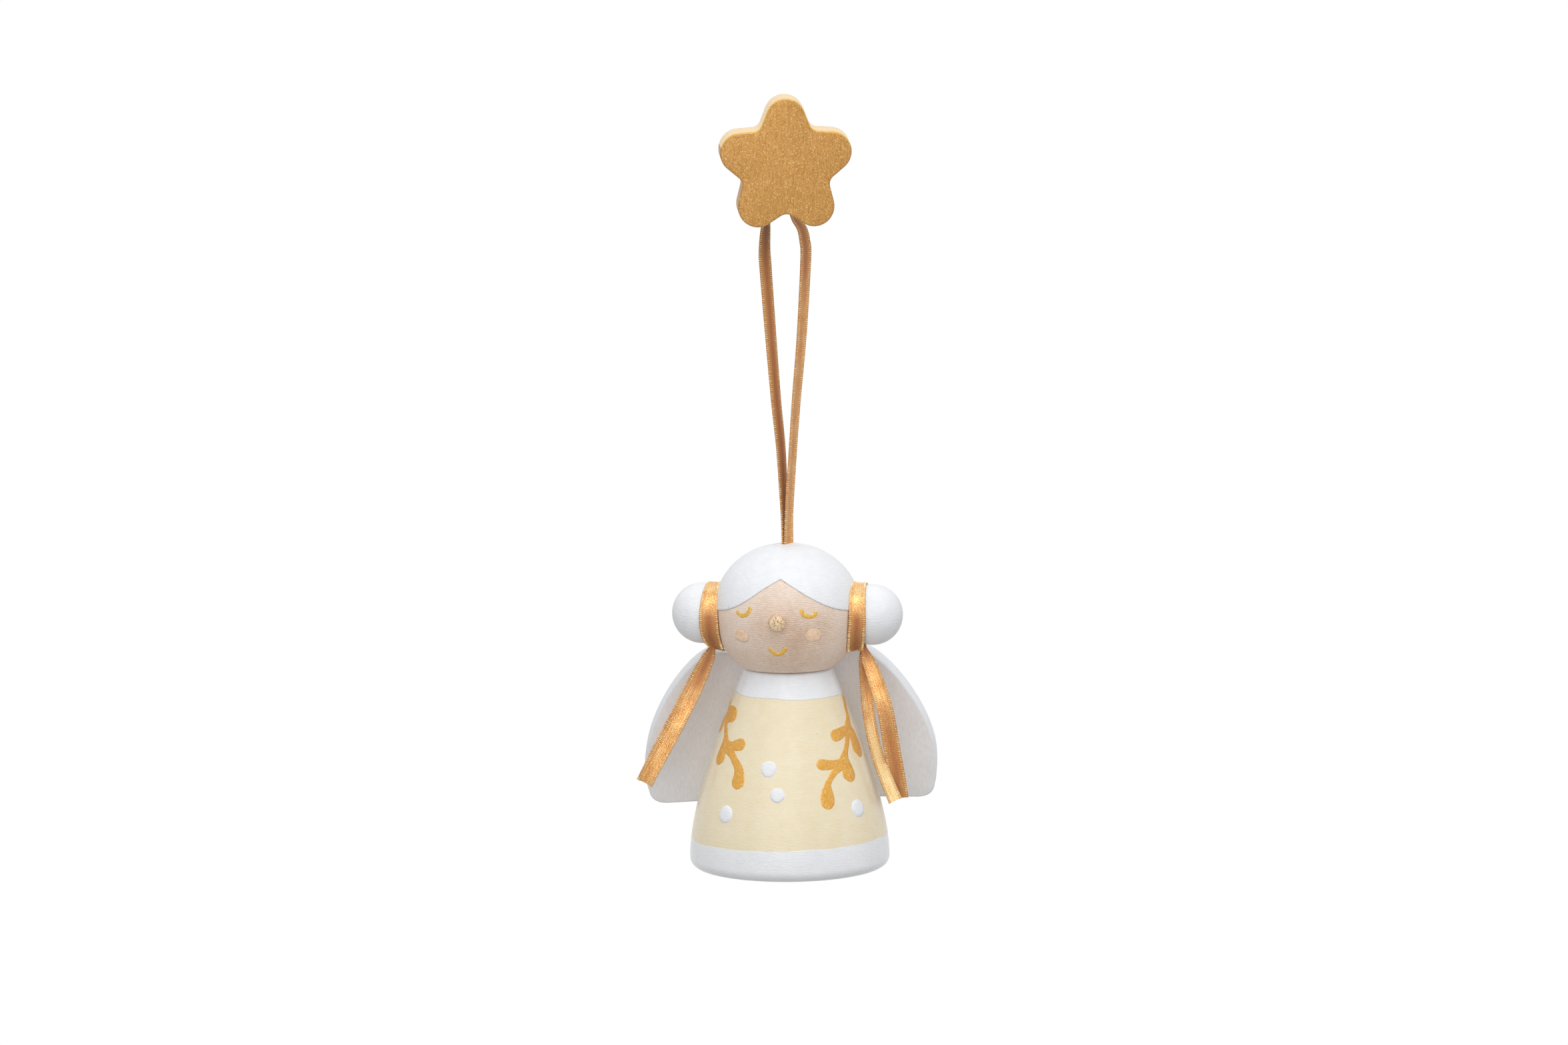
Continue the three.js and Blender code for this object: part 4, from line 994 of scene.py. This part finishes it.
# %% Wing board
WING_FRONT, WING_BACK, WING_EDGE, WING_MIDDLE = 0.3, 4.8, 0.4, 13.0
WING_POINTS, WHITE_FROM = 480, 0.9
right_half = np.vstack([
    [[0.0, 0.8]],
    bezier((22.8, 0), (24.89, 0), (25.92, 0.86), (26.106, 2.584), 10),
    bezier((26.106, 2.584), (26.435, 3.395), (26.6, 5.033), (26.6, 7.5), 10),
    bezier((26.6, 7.5), (26.6, 16.3), (17.6, 29.3), (12.4, 29.3), 40),
    bezier((12.4, 29.3), (8.68, 29.3), (4.96, 24.5), (0.0, 24.5), 30),
])
outline = evened(np.vstack([right_half, right_half[-2:0:-1] * [-1, 1]]), WING_POINTS)
points, faces = rounded_plate(outline, WING_FRONT, WING_BACK, WING_EDGE, [0.0, WING_MIDDLE])
# The two faces and the lower edge are whitewashed, the other edges painted white
on_edge = [0 if row in (0, len(points) - 2) or low else 1
           for row in range(len(points) - 1) for low in outline[:, 1] < WHITE_FROM]
make_piece("wing_board_whitewashed", rotated(points, WING_TURN) + np.array(WING_FOOT), faces,
           [whitewash, paints["white"]], "doll", "whitewash", "wing_board", material_of=on_edge)

# %% [markdown]
# ## Painted details
# The face, the sprigs and the dots are laid on with a brush, and each stands a little proud of the wood. A
# stroke is a line of marks on the turned surface, each with an azimuth, a height and half a width. It gets
# round ends and a domed top, and every point is set back onto the surface, so it hugs the wood from any side.


# %% Strokes and dabs
def stroke(skin, marks, lift, steps=36, tip=9.0):
    line = through(marks, 8 * len(marks))
    at = (1 - np.cos(np.linspace(0, math.pi, steps + 1))) / 2 * (len(line) - 1)
    azimuth, height, wide = (np.interp(at, np.arange(len(line)), column) for column in line.T)
    centre = skin.at(azimuth, height)
    outward = unit(skin.at(azimuth, height, 1.0) - centre)
    aside = unit(np.cross(np.gradient(centre, axis=0), outward))
    run = run_of(centre)
    domed = lift * np.sqrt(np.clip(wide / wide.max(), 0.2, 1))
    for reach, radius in ((run, min(wide[0], 0.35)), (run[-1] - run, min(wide[-1], tip))):
        ending = np.sqrt(1 - (1 - np.clip(reach / radius, 0, 1)) ** 2)
        wide, domed = wide * ending, domed * np.sqrt(ending)
    u = np.sin(np.linspace(-math.pi / 2, math.pi / 2, 9))
    top = domed[:, None] * np.sqrt(1 - u**2)
    u = np.concatenate([u, u[::-1]])
    lifts = np.concatenate([top, np.full_like(top, SUNK)], axis=1)
    spread = centre[:, None] + aside[:, None] * (wide[:, None] * u)[..., None]
    points = skin.at(*skin.under(spread), lifts)
    return points, grid_faces(len(points), len(u))


def dab(skin, azimuth, height, half_wide, half_high, lift, wobble=0.015):
    centre = skin.at(azimuth, height)
    outward = unit(skin.at(azimuth, height, 1.0) - centre)
    east = unit(np.cross([0.0, 0.0, 1.0], outward))
    north = np.cross(outward, east)
    turn = np.linspace(0, 2 * math.pi, 48, endpoint=False)[:, None]
    edge = 1 + wobble * np.sin(3 * turn + azimuth) + wobble / 2 * np.sin(5 * turn + height)
    rim = edge * (east * half_wide * np.cos(turn) + north * half_high * np.sin(turn))
    domed = [(s, lift * math.sqrt(1 - s**3)) for s in np.linspace(1, 0, 10)]
    rows = [skin.at(*skin.under(centre + share * rim), rise)
            for share, rise in [(0.0, SUNK), (1.0, SUNK), *domed]]
    return np.stack(rows), grid_faces(len(rows), len(turn))


def painted(name, slot, finish, *shapes):
    make_piece(name, *joined(*shapes), [finish], "doll", slot)


# %% Face
EYE_LEFT = [(-37.2, 11.6), (-35.4, 11.12), (-31.8, 10.85), (-27.6, 11.12), (-24.8, 11.85), (-24.1, 12.6)]
EYE_RIGHT = [(17.7, 12.35), (19.3, 11.45), (22.5, 10.97), (26.5, 10.93), (29.4, 11.25), (30.6, 11.8)]
MOUTH = [(-8.6, 5.21), (-7.2, 4.7), (-4.6, 4.15), (-1.6, 3.94), (2.0, 4.2), (4.3, 4.75), (5.3, 5.4)]
CHEEKS = [(-33.4, 7.1, 1.65, 1.15), (28.2, 7.52, 1.55, 1.2)]
LINE_WIDE, PENCIL_WIDE, PENCIL_GAP = 0.36, 0.07, 0.06
GOLD_LIFT, CHEEK_LIFT, PENCIL_LIFT, DOT_LIFT = 0.14, 0.08, 0.02, 0.3
CHEEK_FROM_AXIS = 13.0
painted("eyes_and_mouth", "gold_paint", gold_paints["line"], *(
    stroke(head_skin, [(*mark, LINE_WIDE) for mark in marks], GOLD_LIFT)
    for marks in (EYE_LEFT, EYE_RIGHT, MOUTH)))
painted("peach_cheeks", "bare_beech", soft_marks["peach"],
        *(dab(head_skin, *cheek, CHEEK_LIFT) for cheek in CHEEKS))
outlines = []
for azimuth, height, wide, high in CHEEKS:
    ring = np.radians(np.linspace(100, -170, 30))
    reach = np.degrees((wide + PENCIL_GAP) / CHEEK_FROM_AXIS)
    marks = together(azimuth + reach * np.cos(ring), height + (high + PENCIL_GAP) * np.sin(ring), PENCIL_WIDE)
    outlines.append(stroke(head_skin, marks, PENCIL_LIFT, 90))
for half_line, limit in ((hair_left, 80), (hair_right, 75)):
    azimuth, height = half_line[np.abs(half_line[:, 0]) < limit][::3].T
    outlines.append(stroke(head_skin, together(azimuth, height - PENCIL_GAP, PENCIL_WIDE), PENCIL_LIFT, 120))
painted("pencil_outlines", "bare_beech", soft_marks["grey"], *outlines)

# %% Sprigs
# Stems end inside a leaf or a fork, so their ends are blunt, and a leaf ends round
STEMS = [
    [(-86, 30.9, 0.5), (-82, 29.8, 0.65), (-78, 28.7, 0.8), (-75.5, 27.7, 0.75), (-71.5, 26.8, 0.66),
     (-67, 25.9, 0.66), (-63.5, 24.95, 0.72), (-60.5, 23.9, 1.1), (-58, 23.2, 1.3)],
    [(83.2, 31.55, 0.7), (79.4, 30.3, 0.7), (76, 29.2, 0.66), (73.9, 28.1, 0.68), (70.7, 27.1, 0.89),
     (67.4, 26.3, 1.2), (63.3, 25.6, 1.0), (60.5, 24.8, 0.68), (57, 23.7, 0.6), (53.6, 22.7, 0.6),
     (51.1, 21.9, 0.8), (48.8, 21.0, 1.2), (47, 20.4, 1.3)],
    [(46.4, 20.6, 0.9), (43.4, 20.1, 0.82), (38.2, 19.4, 0.68), (34.7, 18.7, 0.6), (31.9, 17.9, 0.54),
     (30.1, 17.1, 0.59), (29.2, 16.4, 0.9)],
]
LEAVES = [
    [(-80, 28.8, 1.0), (-73, 28.65, 1.5), (-65, 28.4, 1.75), (-61, 27.95, 1.6), (-59.5, 27.4, 1.2)],
    [(-78, 28.5, 0.6), (-82, 27.3, 1.1), (-84.5, 26.0, 1.4), (-86, 24.6, 1.0)],
    [(-60.5, 23.6, 1.0), (-57, 23.6, 0.8), (-51.4, 23.54, 0.73), (-46.3, 23.69, 1.0), (-40.9, 23.95, 1.15),
     (-35.5, 24.19, 1.05)],
    [(-59.5, 23.9, 1.1), (-61, 23.0, 1.2), (-61.3, 22.0, 1.4), (-61.2, 21.1, 1.6), (-61.2, 20.36, 1.5),
     (-61, 19.75, 1.35)],
    [(-60, 23.5, 1.0), (-55, 22.96, 0.93), (-47.7, 22.16, 0.81), (-42.8, 21.13, 0.75), (-38.5, 20.23, 0.88),
     (-36, 18.98, 1.17), (-35.6, 17.68, 1.42), (-35.7, 16.95, 1.36), (-35.7, 16.28, 1.2)],
    [(68, 26.3, 0.9), (64.9, 26.1, 0.72), (57.2, 25.86, 0.89), (50.7, 25.54, 1.07), (45.9, 25.39, 1.12),
     (40.5, 25.49, 1.0)],
    [(67.2, 26.7, 1.1), (68.6, 26.0, 1.1), (70.1, 25.05, 1.4), (70.6, 23.7, 1.7), (70.5, 22.4, 1.8),
     (70.2, 21.5, 1.6), (69.2, 20.8, 1.3)],
    [(49, 20.9, 1.0), (46, 20.65, 0.83), (40.4, 20.5, 0.83), (34.4, 20.54, 0.89), (28.8, 20.71, 1.0),
     (26.2, 20.77, 0.98), (23.3, 20.85, 0.9)],
    [(48.4, 21.2, 1.2), (49.2, 20.2, 1.3), (49.8, 19.2, 1.48), (50, 18.4, 1.6), (49.9, 17.7, 1.52),
     (49.6, 17.1, 1.4)],
    [(31.7, 18.0, 0.53), (30, 17.2, 0.65), (29, 16.2, 1.03), (28.5, 15.1, 1.36), (28.1, 14.05, 1.36),
     (27.8, 12.93, 1.25)],
]
shapes = [stroke(body_skin, marks, GOLD_LIFT, 48, 0.3) for marks in STEMS]
shapes += [stroke(body_skin, marks, GOLD_LIFT) for marks in LEAVES]
painted("gold_sprigs", "gold_paint", gold_paints["brush"], *shapes)

# %% Dots
DOTS = [(-12.7, 20.2, 1.48), (-5.4, 15.7, 1.34), (-41.2, 11.7, 1.6), (51.1, 12.4, 1.6)]
painted("white_paint_dots", "white_paint", paints["white"],
        *(dab(body_skin, azimuth, height, radius, radius, DOT_LIFT) for azimuth, height, radius in DOTS))

# %% [markdown]
# ## Hidden dowels
# The dowels that hold the parts together are right as they are in the imported model. They only get the finish
# of bare beech.

# %% Dowels
for name in ("left_bun_dowel", "right_bun_dowel", "neck_dowel", "wing_dowel_upper", "wing_dowel_lower"):
    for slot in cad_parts[name].material_slots:
        slot.material = wood["bare_beech"]
